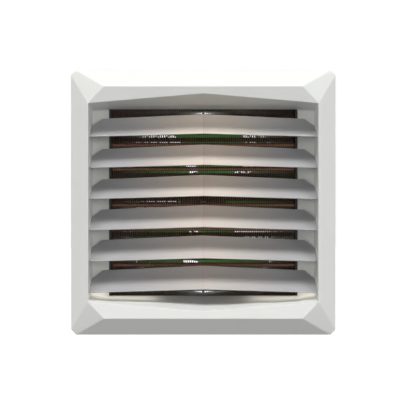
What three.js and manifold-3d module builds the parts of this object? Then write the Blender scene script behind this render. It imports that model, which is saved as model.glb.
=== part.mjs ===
// Ceiling mounted fan heater with a water coil, in millimetres, +Z up.
// The front faces -Y and the origin is the centre of the whole object's box.
// Depths are measured back from the front plane and turned into y by at().
import * as THREE from 'three';
import { mergeVertices } from 'three/addons/utils/BufferGeometryUtils.js';
import Module from 'manifold-3d';

const wasm = await Module();
wasm.setup();

// ---------- driving dimensions ----------
const size = 536;              // width and height of the front cover
const depth = 345;             // front plane to terminal cover
const gap = 0.3;               // clearance between pieces that touch
const wall = 3;                // moulded wall thickness
const half = size / 2;
const cutShare = 0.58;         // a cut corner shrinks by this share of an inset

const cover = {
  chamfer: 10,                 // cut on the outer corners
  bevelDepth: 27,              // outer edge lies this far behind the front plane
  skirtDepth: 78,              // where the cover meets the rear casing
  ridgeX: 231.5,               // ridges at the sides
  ridgeZ: 232,                 // ridges at the top and bottom
  cornerX: 198,                // where the top ridge turns into the corner facet
  cornerZ: 199,                // where the side ridge turns into the corner facet
  ridgeInset: 0.6,             // share of an inset that the ridges move in by
  sink: 5.5,                   // the front bands slope in by this much from ridgeZ to cornerZ
};
const funnel = {
  sideX: 230.5,                // side walls of the outlet, straight to sideDepth
  sideDepth: 70,
  mouthZ: 199,                 // height of the mouth at its ends
  apexZ: 218,                  // height of the mouth at its middle
  rearX: 198,
  rearZ: 196,
  depth: 100,
};
const louvre = {
  count: 6,
  pitch: 63,
  frontDepth: 22,              // front edge of a blade behind the front plane
  rearDepth: 76,
  topFrontZ: 134,              // front edge of the top blade, at its ends
  riseZ: 39,                   // rear edge above front edge
  sag: 5,                      // hollow of the curved blade below its chord
  thickness: 2.6,
  lip: 1.3,                    // radius of the rounded front lip
  endX: 229.2,                 // half length
  rearX: 210.5,                // half length at the rear edge
  cutAt: 0.74,                 // chord share where the rear corner is cut off
  frontPeak: 6.5,              // how far the middle stands above the ends
  rearPeak: 10.6,
  pinRadius: 3.5,
  pinRoot: 2,                  // how far a pivot pin reaches into the blade
  pinEndX: 237,
  pivotDepth: 47.5,
  pivotRise: 11.5,             // pivot above the front edge of its blade
};
const casing = {
  frontHalf: 262,
  midDepth: 160,
  midHalf: 252,
  midChamfer: 26,
  rearDepth: 239,
  rearHalf: 228,
  rearChamfer: 60,
};
const nozzle = {
  radius: 204,
  frontDepth: 200,
  straightDepth: 246,
  lipDepth: 264,
  lipRadius: 222,
  sides: 30,
};
const coil = {
  frontDepth: 104,
  rearDepth: 148,
  halfX: 192.5,
  halfZ: 196,
  plateX: 195,                 // middle of the end plates
  plateThickness: 2,
  flange: 18,
  rowDepths: [115, 139],       // front and rear tube row
  rowShiftZ: 12.7,             // stagger of the rear row
  tubeShiftZ: -4.95,           // the tube pattern sits this far off the middle
  tubePitch: 25.4,
  tubesPerRow: 15,
  tubeRadius: 4.8,
  slots: 20,
  slotDepth: 7,
};
const seal = { inner: 198.6, outer: 206 };
const header = { x: 225, radius: 11, offset: 1.5, neckRadius: 9.5 };
const nipple = { startDepth: 247, endDepth: 283, threadRadius: 13.2, hexAcross: 34 };
const collar = { radius: 18, boreRadius: 14, fromDepth: 205, depth: 244, z: 185 };
const fan = {
  radius: 198,
  blades: 5,
  hubRadius: 56,
  rotorRadius: 50,
  frontDepth: 208,
  hubDepth: 214,
  hubRear: 268,
  rotorRear: 282,
  hubSides: 24,                // the rotor bell has as many, so that it fits the hub
  bladeDepth: 236,             // mean depth of the blades
  sweep: 0.42,                 // how far a blade tip runs ahead of its root, in radians
  rootWidth: 0.5,              // half the angle that a blade covers at its root
  tipWidth: 0.5,
  rootRise: 22,                // half the depth that a blade covers at its root
  tipRise: 17,
  camber: 6,
};
const guard = {
  wire: 1.7,
  spokeWire: 2.4,
  spokes: 4,
  plateRadius: 62,
  plateDepth: 300,
  plateThickness: 3,
  dome: 32,
  bossRadius: 240,             // distance of the screw bosses from the fan axis
  ringRadii: [86, 114, 142, 170, 198, 224],
};
const motor = {
  shaftRadius: 6,
  shaftRear: 296.5,
  bearingRadius: 15,
  bearingWidth: 10,
  frontBearing: 230,
  rearBearing: 283.3,
  coreRadius: 42,
  coreFront: 226,
  flangeFront: 286,
  screwCircle: 54,
};
const electronics = { radius: 45, front: 303.3, rear: 336, ribs: 12, lidRadius: 34 };
const boss = { suspension: 188, radius: 13, depth: 262, insertRadius: 7, insertLength: 22, boreRadius: 3.4 };
const casingScrew = { reach: 236, headDepth: 92, radius: 1.9, headRadius: 4.5, bossRadius: 9 };

const at = (d) => d - depth / 2;
const stations = Array.from({ length: louvre.count }, (_, k) => louvre.topFrontZ - k * louvre.pitch);

// ---------- materials ----------
function plain(color, roughness, metalness = 0) {
  return new THREE.MeshStandardMaterial({ color, roughness, metalness });
}

const whitePlastic = () => plain(0xf1f2ee, 0.45);
const louvrePlastic = () => plain(0xe4e5e1, 0.42);
const greyPlastic = () => plain(0x8f9498, 0.55);
const blackPlastic = () => plain(0x1d1e20, 0.5);
const greenPlastic = () => plain(0x4fae3a, 0.45);
const blackWire = () => plain(0x26282a, 0.5, 0.4);
const castAluminium = () => plain(0xa9adb0, 0.45, 0.8);
const finAluminium = () => plain(0xb9bcbe, 0.35, 0.9);
const darkSteel = () => plain(0x232527, 0.55, 0.3);
const copper = () => plain(0xb26a42, 0.35, 0.95);
const brass = () => plain(0xc09a4a, 0.35, 0.95);
const steel = () => plain(0xb4b6b8, 0.3, 0.95);
const foam = () => plain(0x2b2c2e, 0.95);
const rubber = () => plain(0x1a1a1b, 0.85);

// ---------- solids ----------
function toSolid(geometry) {
  const bare = geometry.index ? geometry.toNonIndexed() : geometry.clone();
  bare.deleteAttribute('normal');
  bare.deleteAttribute('uv');
  const merged = mergeVertices(bare, 1e-4);
  return new wasm.Manifold(new wasm.Mesh({
    numProp: 3,
    vertProperties: new Float32Array(merged.attributes.position.array),
    triVerts: new Uint32Array(merged.index.array),
  }));
}

function toGeometry(solid) {
  const mesh = solid.getMesh();
  const geometry = new THREE.BufferGeometry();
  geometry.setAttribute('position', new THREE.BufferAttribute(new Float32Array(mesh.vertProperties), 3));
  geometry.setIndex(new THREE.BufferAttribute(new Uint32Array(mesh.triVerts), 1));
  geometry.computeVertexNormals();
  return geometry;
}

const join = (solids) => solids.reduce((whole, next) => whole.add(next));
const cut = (solid, tools) => tools.reduce((left, tool) => left.subtract(tool), solid);

// Skin through rings of equally many points, closed at both ends by a cap over the ring.
function loft(rings) {
  const count = rings[0].length;
  const points = rings.flat();
  const faces = [];
  for (let r = 0; r < rings.length - 1; r += 1) {
    for (let i = 0; i < count; i += 1) {
      const a = r * count + i;
      const b = r * count + ((i + 1) % count);
      faces.push(a, b, b + count, a, b + count, a + count);
    }
  }
  const flat = (ring) => {
    const [u, v] = flatAxes(ring);
    return THREE.ShapeUtils.triangulateShape(ring.map((p) => new THREE.Vector2(p[u], p[v])), []);
  };
  const last = (rings.length - 1) * count;
  flat(rings[0]).forEach(([a, b, c]) => faces.push(a, c, b));
  flat(rings[rings.length - 1]).forEach(([a, b, c]) => faces.push(last + a, last + b, last + c));
  const geometry = new THREE.BufferGeometry();
  geometry.setAttribute('position', new THREE.BufferAttribute(new Float32Array(points.flat()), 3));
  geometry.setIndex(faces);
  return outward(geometry, rings);
}

// The two axes across which a ring encloses its largest area.
function flatAxes(ring) {
  const area = ([u, v]) => Math.abs(ring.reduce((sum, p, i) => {
    const q = ring[(i + 1) % ring.length];
    return sum + p[u] * q[v] - q[u] * p[v];
  }, 0));
  return [[0, 1], [0, 2], [1, 2]].sort((one, other) => area(other) - area(one))[0];
}

// Caps are wound to match the sides, then the whole is turned if its volume is negative.
function outward(geometry, rings) {
  const count = rings[0].length;
  const sideCount = (rings.length - 1) * count * 2;
  const index = Array.from(geometry.index.array);
  const edges = new Set();
  for (let t = 0; t < sideCount; t += 1) {
    for (let e = 0; e < 3; e += 1) edges.add(`${index[t * 3 + e]}_${index[t * 3 + ((e + 1) % 3)]}`);
  }
  const capSize = (index.length / 3 - sideCount) / 2;
  for (const start of [sideCount, sideCount + capSize]) {
    const clashes = hasEdge(index, edges, start, capSize);
    if (clashes) {
      for (let t = start; t < start + capSize; t += 1) {
        [index[t * 3 + 1], index[t * 3 + 2]] = [index[t * 3 + 2], index[t * 3 + 1]];
      }
    }
  }
  geometry.setIndex(index);
  if (volumeOf(geometry) < 0) {
    for (let t = 0; t < index.length; t += 3) [index[t + 1], index[t + 2]] = [index[t + 2], index[t + 1]];
    geometry.setIndex(index);
  }
  return geometry;
}

function hasEdge(index, edges, start, count) {
  for (let t = start; t < start + count; t += 1) {
    for (let e = 0; e < 3; e += 1) {
      if (edges.has(`${index[t * 3 + e]}_${index[t * 3 + ((e + 1) % 3)]}`)) return true;
    }
  }
  return false;
}

function volumeOf(geometry) {
  const p = geometry.attributes.position;
  const index = geometry.index.array;
  const corner = (i) => new THREE.Vector3().fromBufferAttribute(p, index[i]);
  let sum = 0;
  for (let t = 0; t < index.length; t += 3) {
    sum += corner(t).dot(corner(t + 1).cross(corner(t + 2))) / 6;
  }
  return sum;
}

const loftSolid = (rings) => toSolid(loft(rings));

// Box between two corners given as [x, depth, z].
function box(low, high) {
  const geometry = new THREE.BoxGeometry(high[0] - low[0], high[1] - low[1], high[2] - low[2]);
  geometry.translate((low[0] + high[0]) / 2, at((low[1] + high[1]) / 2), (low[2] + high[2]) / 2);
  return toSolid(geometry);
}

// Round bar along Y between two depths, round the line through (x, z).
function rodY(radius, from, to, x = 0, z = 0, sides = 16) {
  const geometry = new THREE.CylinderGeometry(radius, radius, to - from, sides);
  geometry.translate(x, at((from + to) / 2), z);
  return toSolid(geometry);
}

function rodX(radius, from, to, d, z, sides = 12) {
  const geometry = new THREE.CylinderGeometry(radius, radius, to - from, sides);
  geometry.rotateZ(Math.PI / 2);
  geometry.translate((from + to) / 2, at(d), z);
  return toSolid(geometry);
}

function rodZ(radius, from, to, x, d, sides = 12) {
  const geometry = new THREE.CylinderGeometry(radius, radius, to - from, sides);
  geometry.rotateX(Math.PI / 2);
  geometry.translate(x, at(d), (from + to) / 2);
  return toSolid(geometry);
}

// Revolve a closed profile of [radius, depth] points round the fan axis.
function revolve(profile, sides, x = 0, z = 0) {
  const points = profile.map(([r, d]) => new THREE.Vector2(r, at(d)));
  const closed = points[0].x > 1e-6 ? [...points, points[0].clone()] : points;
  const geometry = new THREE.LatheGeometry(closed, sides);
  geometry.translate(x, 0, z);
  const solid = toSolid(geometry);
  if (solid.volume() > 0) return solid;
  return toSolid(new THREE.LatheGeometry([...closed].reverse(), sides).translate(x, 0, z));
}

// Square with cut corners, as a ring of eight points at one depth.
function octagon(halfX, halfZ, cutX, cutZ, d) {
  const y = at(d);
  const x0 = halfX - cutX;
  const z0 = halfZ - cutZ;
  return [
    [x0, y, halfZ], [halfX, y, z0], [halfX, y, -z0], [x0, y, -halfZ],
    [-x0, y, -halfZ], [-halfX, y, -z0], [-halfX, y, z0], [-x0, y, halfZ],
  ];
}

function casingRing(reach, corner, d, inset = 0) {
  const c = corner - inset * cutShare;
  return octagon(reach - inset, reach - inset, c, c, d);
}

function add(name, solid, material, parent = root) {
  const mesh = new THREE.Mesh(toGeometry(solid), material);
  mesh.name = name;
  parent.add(mesh);
  return mesh;
}

const root = new THREE.Group();
root.name = 'fan_heater';

// ---------- front cover ----------
// Ring of the outlet at one depth: straight sides, top and bottom edges raised to an apex.
function outletRing(sideX, endZ, apexZ, d) {
  const y = at(d);
  return [
    [-sideX, y, endZ], [0, y, apexZ], [sideX, y, endZ],
    [sideX, y, -endZ], [0, y, -apexZ], [-sideX, y, -endZ],
  ];
}

function outlet(offset, from, to) {
  const share = funnel.sideDepth / funnel.depth;
  const blend = (a, b, s) => a + (b - a) * s;
  const mouthZ = funnel.mouthZ + offset;
  const rearZ = funnel.rearZ + offset;
  const apexZ = funnel.apexZ + offset;
  const sideX = funnel.sideX + offset;
  return loftSolid([
    outletRing(sideX, mouthZ, apexZ, from),
    outletRing(sideX, blend(mouthZ, rearZ, share), blend(apexZ, rearZ, share), funnel.sideDepth),
    outletRing(funnel.rearX + offset, rearZ, rearZ + 0.01, to),
  ]);
}

// Depth of the front bands at height z: they slope in from the top and bottom ridges.
const bandSlope = cover.sink / (cover.ridgeZ - cover.cornerZ);
const bandDepth = (z) => bandSlope * (cover.ridgeZ - Math.abs(z));
const onBands = (ring, lift) => ring.map(([x, , z]) => [x, at(bandDepth(z) + lift), z]);

// Faceted skin of the cover: a ring inside the mouth, the ridges, the outer edge, the skirt.
function coverSkin(inset, lift, to) {
  const inMouth = octagon(funnel.sideX - 6, cover.cornerZ + 4, 75, 4, 0);
  const ridgeX = cover.ridgeX - inset * cover.ridgeInset;
  const ridgeZ = cover.ridgeZ - inset * cover.ridgeInset;
  const ridges = octagon(ridgeX, ridgeZ, ridgeX - cover.cornerX, ridgeZ - cover.cornerZ, 0);
  return loftSolid([
    onBands(inMouth, lift),
    onBands(ridges, lift),
    casingRing(half, cover.chamfer, cover.bevelDepth, inset),
    casingRing(casing.frontHalf, cover.chamfer, to, inset),
  ]);
}

// The four places at plus and minus x and z.
const corners = (x, z = x) => [-1, 1].flatMap((side) => [-1, 1].map((end) => [side * x, end * z]));
const screwPlaces = corners(casingScrew.reach);

function frontCover() {
  const outer = coverSkin(0, 0, cover.skirtDepth);
  const hollow = coverSkin(wall, wall, cover.skirtDepth + 1);
  const bosses = screwPlaces.map(([x, z]) => rodY(casingScrew.bossRadius, 8, cover.skirtDepth, x, z, 8));
  const bossed = join([outer.subtract(hollow), join(bosses).intersect(outer)]);
  const rim = seal.outer + 2;
  const flange = box([-rim, funnel.depth - 2.5, -rim], [rim, funnel.depth, rim]);
  const inFront = box([-half, -2, -half], [half, cover.bevelDepth, half]).subtract(outer);
  const sleeve = outlet(wall - 0.3, 1, funnel.depth).subtract(inFront);
  const shell = join([bossed, sleeve, flange]);
  const bores = stations.flatMap((z) => [-1, 1].map((side) => {
    const inner = side * (funnel.sideX - 2);
    const outerEnd = side * (funnel.sideX + 6);
    return rodX(louvre.pinRadius + 0.35, Math.min(inner, outerEnd), Math.max(inner, outerEnd),
      louvre.pivotDepth, z + louvre.pivotRise, 10);
  }));
  const pilotRadius = casingScrew.radius + gap;
  const pilots = screwPlaces.map(([x, z]) => rodY(pilotRadius, 50, cover.skirtDepth + 1, x, z, 6));
  return cut(shell.subtract(outlet(0, -1, funnel.depth + 1)), [...bores, ...pilots]);
}

add('front_cover', frontCover(), whitePlastic());

// ---------- louvres ----------
// Height of the middle of a blade over its ends at chord share t.
const peakAt = (t) => louvre.frontPeak + (louvre.rearPeak - louvre.frontPeak) * t;

// Closed section of the blade up to chord share tMax, as [chord share, depth, height] points.
function bladeSection(tMax) {
  const run = louvre.rearDepth - louvre.frontDepth;
  const chord = Math.hypot(run, louvre.riseZ);
  const down = [louvre.riseZ / chord, -run / chord];
  const forward = [-run / chord, -louvre.riseZ / chord];
  const point = (t, under) => {
    const hollow = 4 * louvre.sag * t * (1 - t) + under;
    return [t, louvre.frontDepth + run * t + down[0] * hollow, louvre.riseZ * t + down[1] * hollow];
  };
  const shares = [0.08, 0.28, 0.5, 0.75, 1].map((s) => s * tMax);
  const top = shares.map((t) => point(t, 0));
  const under = shares.map((t) => point(t, louvre.thickness)).reverse();
  const nose = [];
  for (let i = 0; i <= 3; i += 1) {
    const turn = Math.PI * (i / 3);
    const ahead = louvre.lip * Math.sin(turn) - louvre.lip;
    const below = louvre.lip * (1 - Math.cos(turn));
    nose.push([0, louvre.frontDepth + down[0] * below + forward[0] * ahead,
      down[1] * below + forward[1] * ahead]);
  }
  return [...top, ...under, ...nose.reverse()];
}

function louvreBlade() {
  const section = (x, tMax, crease) => bladeSection(tMax).map(([t, d, z]) => {
    const px = crease ? Math.sign(x) * (0.4 + 1.8 * t) : x;
    const rise = peakAt(t) * (1 - Math.abs(px) / louvre.endX);
    return [px, at(d), z + rise];
  });
  const blade = loftSolid([
    section(-louvre.endX, louvre.cutAt, false),
    section(-louvre.rearX, 1, false),
    section(-1, 1, true),
    section(1, 1, true),
    section(louvre.rearX, 1, false),
    section(louvre.endX, louvre.cutAt, false),
  ]);
  const pins = [-1, 1].map((side) => {
    const ends = [side * (louvre.endX - louvre.pinRoot), side * louvre.pinEndX];
    return rodX(louvre.pinRadius, Math.min(...ends), Math.max(...ends),
      louvre.pivotDepth, louvre.pivotRise, 8);
  });
  return join([blade, ...pins]);
}

const blade = louvreBlade();
stations.forEach((z, k) => {
  add(`louvre_${k + 1}`, blade, louvrePlastic()).position.z = z;
});

// ---------- water coil ----------
function finPack() {
  const shape = new THREE.Shape();
  const pitch = (2 * coil.halfX) / coil.slots;
  const front = at(coil.frontDepth);
  const rear = at(coil.rearDepth);
  shape.moveTo(-coil.halfX, front);
  for (let i = 0; i < coil.slots; i += 1) {
    const x = -coil.halfX + i * pitch;
    shape.lineTo(x + pitch * 0.3, front);
    shape.lineTo(x + pitch * 0.3, front + coil.slotDepth);
    shape.lineTo(x + pitch * 0.7, front + coil.slotDepth);
    shape.lineTo(x + pitch * 0.7, front);
  }
  shape.lineTo(coil.halfX, front);
  shape.lineTo(coil.halfX, rear);
  for (let i = coil.slots - 1; i >= 0; i -= 1) {
    const x = -coil.halfX + i * pitch;
    shape.lineTo(x + pitch * 0.7, rear);
    shape.lineTo(x + pitch * 0.7, rear - coil.slotDepth);
    shape.lineTo(x + pitch * 0.3, rear - coil.slotDepth);
    shape.lineTo(x + pitch * 0.3, rear);
  }
  shape.lineTo(-coil.halfX, rear);
  const geometry = new THREE.ExtrudeGeometry(shape, { depth: 2 * coil.halfZ, bevelEnabled: false });
  geometry.translate(0, 0, -coil.halfZ);
  return toSolid(geometry);
}

function tubeZ(row, i) {
  return coil.tubeShiftZ + (i - (coil.tubesPerRow - 1) / 2) * coil.tubePitch + row * coil.rowShiftZ;
}

const plateInner = coil.plateX - coil.plateThickness / 2;
const plateOuter = coil.plateX + coil.plateThickness / 2;

// Half-round return bend from a front-row tube end to the rear-row tube end above it.
function returnBend(i) {
  const start = new THREE.Vector3(-plateOuter + 0.5, at(coil.rowDepths[0]), tubeZ(0, i));
  const end = new THREE.Vector3(-plateOuter + 0.5, at(coil.rowDepths[1]), tubeZ(1, i));
  const middle = start.clone().add(end).multiplyScalar(0.5);
  const spoke = start.clone().sub(middle);
  const points = [start];
  for (let k = 0; k <= 2; k += 1) {
    const turn = Math.PI * (k / 2);
    points.push(middle.clone()
      .add(spoke.clone().multiplyScalar(Math.cos(turn)))
      .add(new THREE.Vector3(-3 - spoke.length() * Math.sin(turn), 0, 0)));
  }
  points.push(end);
  return sweep(points, coil.tubeRadius, 4);
}

// Round tube of flat sides along a list of points.
function sweep(points, radius, sides) {
  const steps = points.map((p, i) => {
    const before = points[Math.max(i - 1, 0)];
    const after = points[Math.min(i + 1, points.length - 1)];
    return { p, along: after.clone().sub(before).normalize() };
  });
  const normal = sweepNormal(points);
  const rings = steps.map(({ p, along }) => {
    const u = normal.clone().sub(along.clone().multiplyScalar(normal.dot(along))).normalize();
    const v = along.clone().cross(u);
    return Array.from({ length: sides }, (_, k) => {
      const turn = (2 * Math.PI * (k + 0.5)) / sides;
      return p.clone()
        .add(u.clone().multiplyScalar(radius * Math.cos(turn)))
        .add(v.clone().multiplyScalar(radius * Math.sin(turn)))
        .toArray();
    });
  });
  return loftSolid(rings);
}

// A direction square to the plane that the points lie in, or to a straight run.
function sweepNormal(points) {
  const first = points[1].clone().sub(points[0]).normalize();
  const across = points[points.length - 1].clone().sub(points[0]).cross(first);
  if (across.length() > 1e-3) return across.normalize();
  const other = Math.abs(first.z) < 0.9 ? new THREE.Vector3(0, 0, 1) : new THREE.Vector3(1, 0, 0);
  return other.cross(first).normalize();
}

// Section of a folded sheet, as [reach, depth] points: a lip at the front and a flange at the rear.
function foldedSheet(inner, lip, flange) {
  const t = coil.plateThickness;
  const front = coil.frontDepth - 1;
  const rear = coil.rearDepth + 4;
  return [
    [inner, front], [lip, front], [lip, front + t], [inner + t, front + t],
    [inner + t, rear - t], [flange, rear - t], [flange, rear], [inner, rear],
  ];
}

// Sheet end plate with its edges turned outwards, and two screw holes in the rear flange.
function endPlate(side) {
  const section = foldedSheet(plateInner, seal.outer + 2, plateOuter + coil.flange);
  const reach = coil.halfZ + 5;
  const sheet = loftSolid([-reach, reach].map((z) => section.map(([x, d]) => [side * x, at(d), z])));
  const holes = [-1, 1].map((end) => rodY(2.4, coil.rearDepth, coil.rearDepth + 6,
    side * coilScrew.x, end * coilScrew.z, 10));
  return cut(sheet, holes);
}

const coilScrew = { x: 207, z: 150, radius: 2, headRadius: 4.2 };

function leftPlate() {
  const bends = Array.from({ length: coil.tubesPerRow }, (_, i) => returnBend(i));
  return join([endPlate(-1), ...bends]);
}

// Tube stubs between the right end plate and a header.
function feeders(row) {
  return Array.from({ length: coil.tubesPerRow }, (_, i) => rodX(coil.tubeRadius, plateOuter + gap,
    header.x, coil.rowDepths[row], tubeZ(row, i), 4));
}

function supplyHeader() {
  const d = coil.rowDepths[0] - header.offset;
  const pipe = rodZ(header.radius, -196, 186, header.x, d);
  const neck = rodY(header.neckRadius, d, nipple.startDepth + 6, header.x, -collar.z, 12);
  return join([pipe, neck, ...feeders(0)]);
}

function returnHeader() {
  const d = coil.rowDepths[1] + header.offset;
  const pipe = rodZ(header.radius, -171, 196, header.x, d);
  const neck = rodY(header.neckRadius, d, nipple.startDepth + 6, header.x, collar.z, 12);
  return join([pipe, neck, ...feeders(1)]);
}

// Threaded connection: a sleeve over the neck, a hexagon, and the male thread as a round end.
function connection(z) {
  const start = nipple.startDepth;
  const sleeve = rodY(nipple.threadRadius - 1, start, start + 8, header.x, z, 12);
  const hex = rodY(nipple.hexAcross / Math.sqrt(3), start + 6, start + 16, header.x, z, 6);
  const thread = rodY(nipple.threadRadius, start + 16, nipple.endDepth, header.x, z, 14);
  const socket = rodY(header.neckRadius + gap, start - 1, start + 6 + gap, header.x, z, 12);
  const way = rodY(header.neckRadius - 0.5, start, nipple.endDepth + 1, header.x, z, 12);
  return cut(join([sleeve, hex, thread]), [socket, way]);
}

add('fin_pack', finPack(), finAluminium());
add('coil_left_plate', leftPlate(), darkSteel());
add('coil_right_plate', endPlate(1), darkSteel());
add('supply_header', supplyHeader(), copper());
add('return_header', returnHeader(), copper());
add('supply_connection', connection(-collar.z), brass());
add('return_connection', connection(collar.z), brass());

// Folded channel that closes the coil at the top or the bottom.
function channel(side) {
  const section = foldedSheet(coil.halfZ + gap, seal.outer + 2, seal.outer + 2);
  return loftSolid([-coil.halfX, coil.halfX].map((x) => section.map(([z, d]) => [x, at(d), side * z])));
}

add('coil_top_channel', channel(1), darkSteel());
add('coil_bottom_channel', channel(-1), darkSteel());

function coilSeal() {
  const { inner, outer } = seal;
  const from = funnel.depth + gap;
  const to = coil.frontDepth - 1 - gap;
  const frame = box([-outer, from, -outer], [outer, to, outer]);
  return frame.subtract(box([-inner, from - 1, -inner], [inner, to + 1, inner]));
}

add('coil_seal', coilSeal(), foam());

// ---------- rear casing ----------
function nozzleRing() {
  const t = wall;
  const n = nozzle;
  return revolve([
    [n.radius, n.frontDepth], [n.radius, n.straightDepth], [n.radius + 6, n.lipDepth - 6],
    [n.lipRadius, n.lipDepth], [n.lipRadius, n.lipDepth + t - 1], [n.radius + 4, n.lipDepth - 4 + t],
    [n.radius + t, n.straightDepth + 2], [n.radius + t, n.frontDepth],
  ], n.sides);
}

function casingShell(inset, from, to) {
  return loftSolid([
    casingRing(casing.frontHalf, cover.chamfer, from, inset),
    casingRing(casing.midHalf, casing.midChamfer, casing.midDepth, inset),
    casingRing(casing.rearHalf, casing.rearChamfer, to, inset),
  ]);
}

const bossPlaces = corners(boss.suspension);
const guardPlaces = corners(guard.bossRadius / Math.sqrt(2));

// Post that carries one corner of the coil, with the rib that ties it to the side wall.
function coilPost(side, end) {
  const x = side * coilScrew.x;
  const z = end * coilScrew.z;
  const front = coil.rearDepth + 4 + gap;
  const post = box([x - 6, front, z - 7], [x + 6, casing.rearDepth - 1, z + 7]);
  const ribX = [Math.min(x, side * 258), Math.max(x, side * 258)];
  const rib = box([ribX[0], 168, z - 1.5], [ribX[1], casing.rearDepth - 1, z + 1.5]);
  return post.add(rib);
}

function rearCasing() {
  const front = cover.skirtDepth + gap;
  const outer = casingShell(0, front, casing.rearDepth);
  const inner = casingShell(wall, front - 1, casing.rearDepth - wall);
  const posts = [-1, 1].flatMap((side) => [-1, 1].map((end) => coilPost(side, end)));
  const screwWells = screwPlaces.map(([x, z]) => rodY(casingScrew.bossRadius, front, 210, x, z, 8));
  const hangers = bossPlaces.map(([x, z]) => rodY(boss.radius, casing.rearDepth - 24, boss.depth, x, z, 12));
  const guardBosses = guardPlaces.map(([x, z]) => rodY(7, casing.rearDepth - 2, boss.depth, x, z, 6));
  const collars = [-1, 1].map((end) => rodY(collar.radius, collar.fromDepth, collar.depth,
    header.x, end * collar.z, 12));
  const inside = join([...posts, ...screwWells]).intersect(outer);
  const skin = join([outer.subtract(inner), inside, ...hangers, ...guardBosses, ...collars]);
  const opened = skin.subtract(rodY(nozzle.radius + 1, 150, 300, 0, 0, nozzle.sides));
  const holes = [
    ...screwPlaces.map(([x, z]) => rodY(casingScrew.radius + 0.4, front - 1, 110, x, z, 6)),
    ...screwPlaces.map(([x, z]) => rodY(casingScrew.headRadius + 0.8, casingScrew.headDepth, 230, x, z, 8)),
    ...bossPlaces.map(([x, z]) => rodY(boss.insertRadius + gap, boss.depth - boss.insertLength - 1,
      boss.depth + 1, x, z, 10)),
    ...guardPlaces.map(([x, z]) => rodY(2, boss.depth - 18, boss.depth + 1, x, z, 6)),
    ...[-1, 1].map((end) => rodY(collar.boreRadius, 180, 260, header.x, end * collar.z, 12)),
    ...corners(coilScrew.x, coilScrew.z).map(([x, z]) => rodY(coilScrew.radius, coil.rearDepth,
      coil.rearDepth + 22, x, z, 6)),
  ];
  return cut(opened.add(nozzleRing()), holes);
}

add('rear_casing', rearCasing(), greyPlastic());

bossPlaces.forEach(([x, z], k) => {
  const insert = rodY(boss.insertRadius, boss.depth - boss.insertLength, boss.depth, x, z, 10);
  const bore = rodY(boss.boreRadius, boss.depth - boss.insertLength - 1, boss.depth + 1, x, z, 10);
  add(`suspension_insert_${k + 1}`, insert.subtract(bore), brass());
});

// ---------- screws ----------
// Pan-head screw whose head seat is at y = 0: the head stands on +Y and the shank points to -Y.
function screwSolid(radius, headRadius, length, headHeight) {
  const seat = depth / 2;
  return revolve([
    [0, seat - length], [radius, seat - length], [radius, seat], [headRadius, seat],
    [headRadius * 0.85, seat + headHeight], [0, seat + headHeight],
  ], 6);
}

// Same screw at every place; turned over where the head faces the front.
function addScrews(name, places, seatDepth, solid, headToFront = false) {
  places.forEach(([x, z], k) => {
    const screw = add(`${name}_${k + 1}`, solid, steel());
    screw.position.set(x, at(seatDepth), z);
    screw.rotation.x = headToFront ? Math.PI : 0;
  });
}

addScrews('casing_screw', screwPlaces, casingScrew.headDepth + gap,
  screwSolid(casingScrew.radius, casingScrew.headRadius, 34, 3));
addScrews('coil_screw', corners(coilScrew.x, coilScrew.z),
  coil.rearDepth + 2 - gap, screwSolid(1.7, coilScrew.headRadius, 18, 2.4), true);

// ---------- pipe grommets, vent and drain ----------
[-1, 1].forEach((end) => {
  const z = end * collar.z;
  const ring = revolve([
    [header.neckRadius + gap, collar.depth - 12], [collar.boreRadius - gap - 0.2, collar.depth - 12],
    [collar.boreRadius - gap - 0.2, collar.depth + gap], [collar.radius - 1, collar.depth + gap],
    [collar.radius - 1.6, nipple.startDepth - gap], [header.neckRadius + gap, nipple.startDepth - gap],
  ], 12, header.x, z);
  add(end < 0 ? 'supply_grommet' : 'return_grommet', ring, rubber());
});

// Small hexagon plug with a round neck, standing on the flat of a connection's hexagon.
function smallPlug(end, reach) {
  const d = nipple.startDepth + 11;
  const x = header.x + nipple.hexAcross / 2 + gap;
  const z = end * collar.z;
  const hex = rodX(4.6, x, x + 4, d, z, 6);
  const neck = rodX(2.6, x + 3, x + reach, d, z, 8);
  return hex.add(neck);
}

add('air_vent', smallPlug(1, 11), brass());
add('drain_plug', smallPlug(-1, 7), brass());

// ---------- motor ----------
const motorScrewPlaces = [45, 135, 225, 315].map((a) => {
  const turn = (a * Math.PI) / 180;
  return [motor.screwCircle * Math.cos(turn), motor.screwCircle * Math.sin(turn)];
});

function statorSolid() {
  const m = motor;
  const body = revolve([
    [m.bearingRadius + gap, m.coreFront], [m.coreRadius, m.coreFront], [m.coreRadius, m.flangeFront],
    [guard.plateRadius - 2, m.flangeFront], [guard.plateRadius - 2, guard.plateDepth - gap],
    [m.bearingRadius + gap, guard.plateDepth - gap], [m.bearingRadius + gap, m.rearBearing - gap],
    [10, m.rearBearing - gap], [10, m.frontBearing + m.bearingWidth + gap],
    [m.bearingRadius + gap, m.frontBearing + m.bearingWidth + gap],
  ], 18);
  const to = guard.plateDepth;
  const threads = motorScrewPlaces.map(([x, z]) => rodY(2.1, to - 11, to, x, z, 6));
  return cut(body, threads);
}

function bearing(from) {
  const to = from + motor.bearingWidth;
  return revolve([
    [motor.shaftRadius + gap, from], [9.5, from], [10, from + 0.8], [12.5, from + 0.8], [13, from],
    [motor.bearingRadius, from], [motor.bearingRadius, to], [motor.shaftRadius + gap, to],
  ], 12);
}

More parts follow.
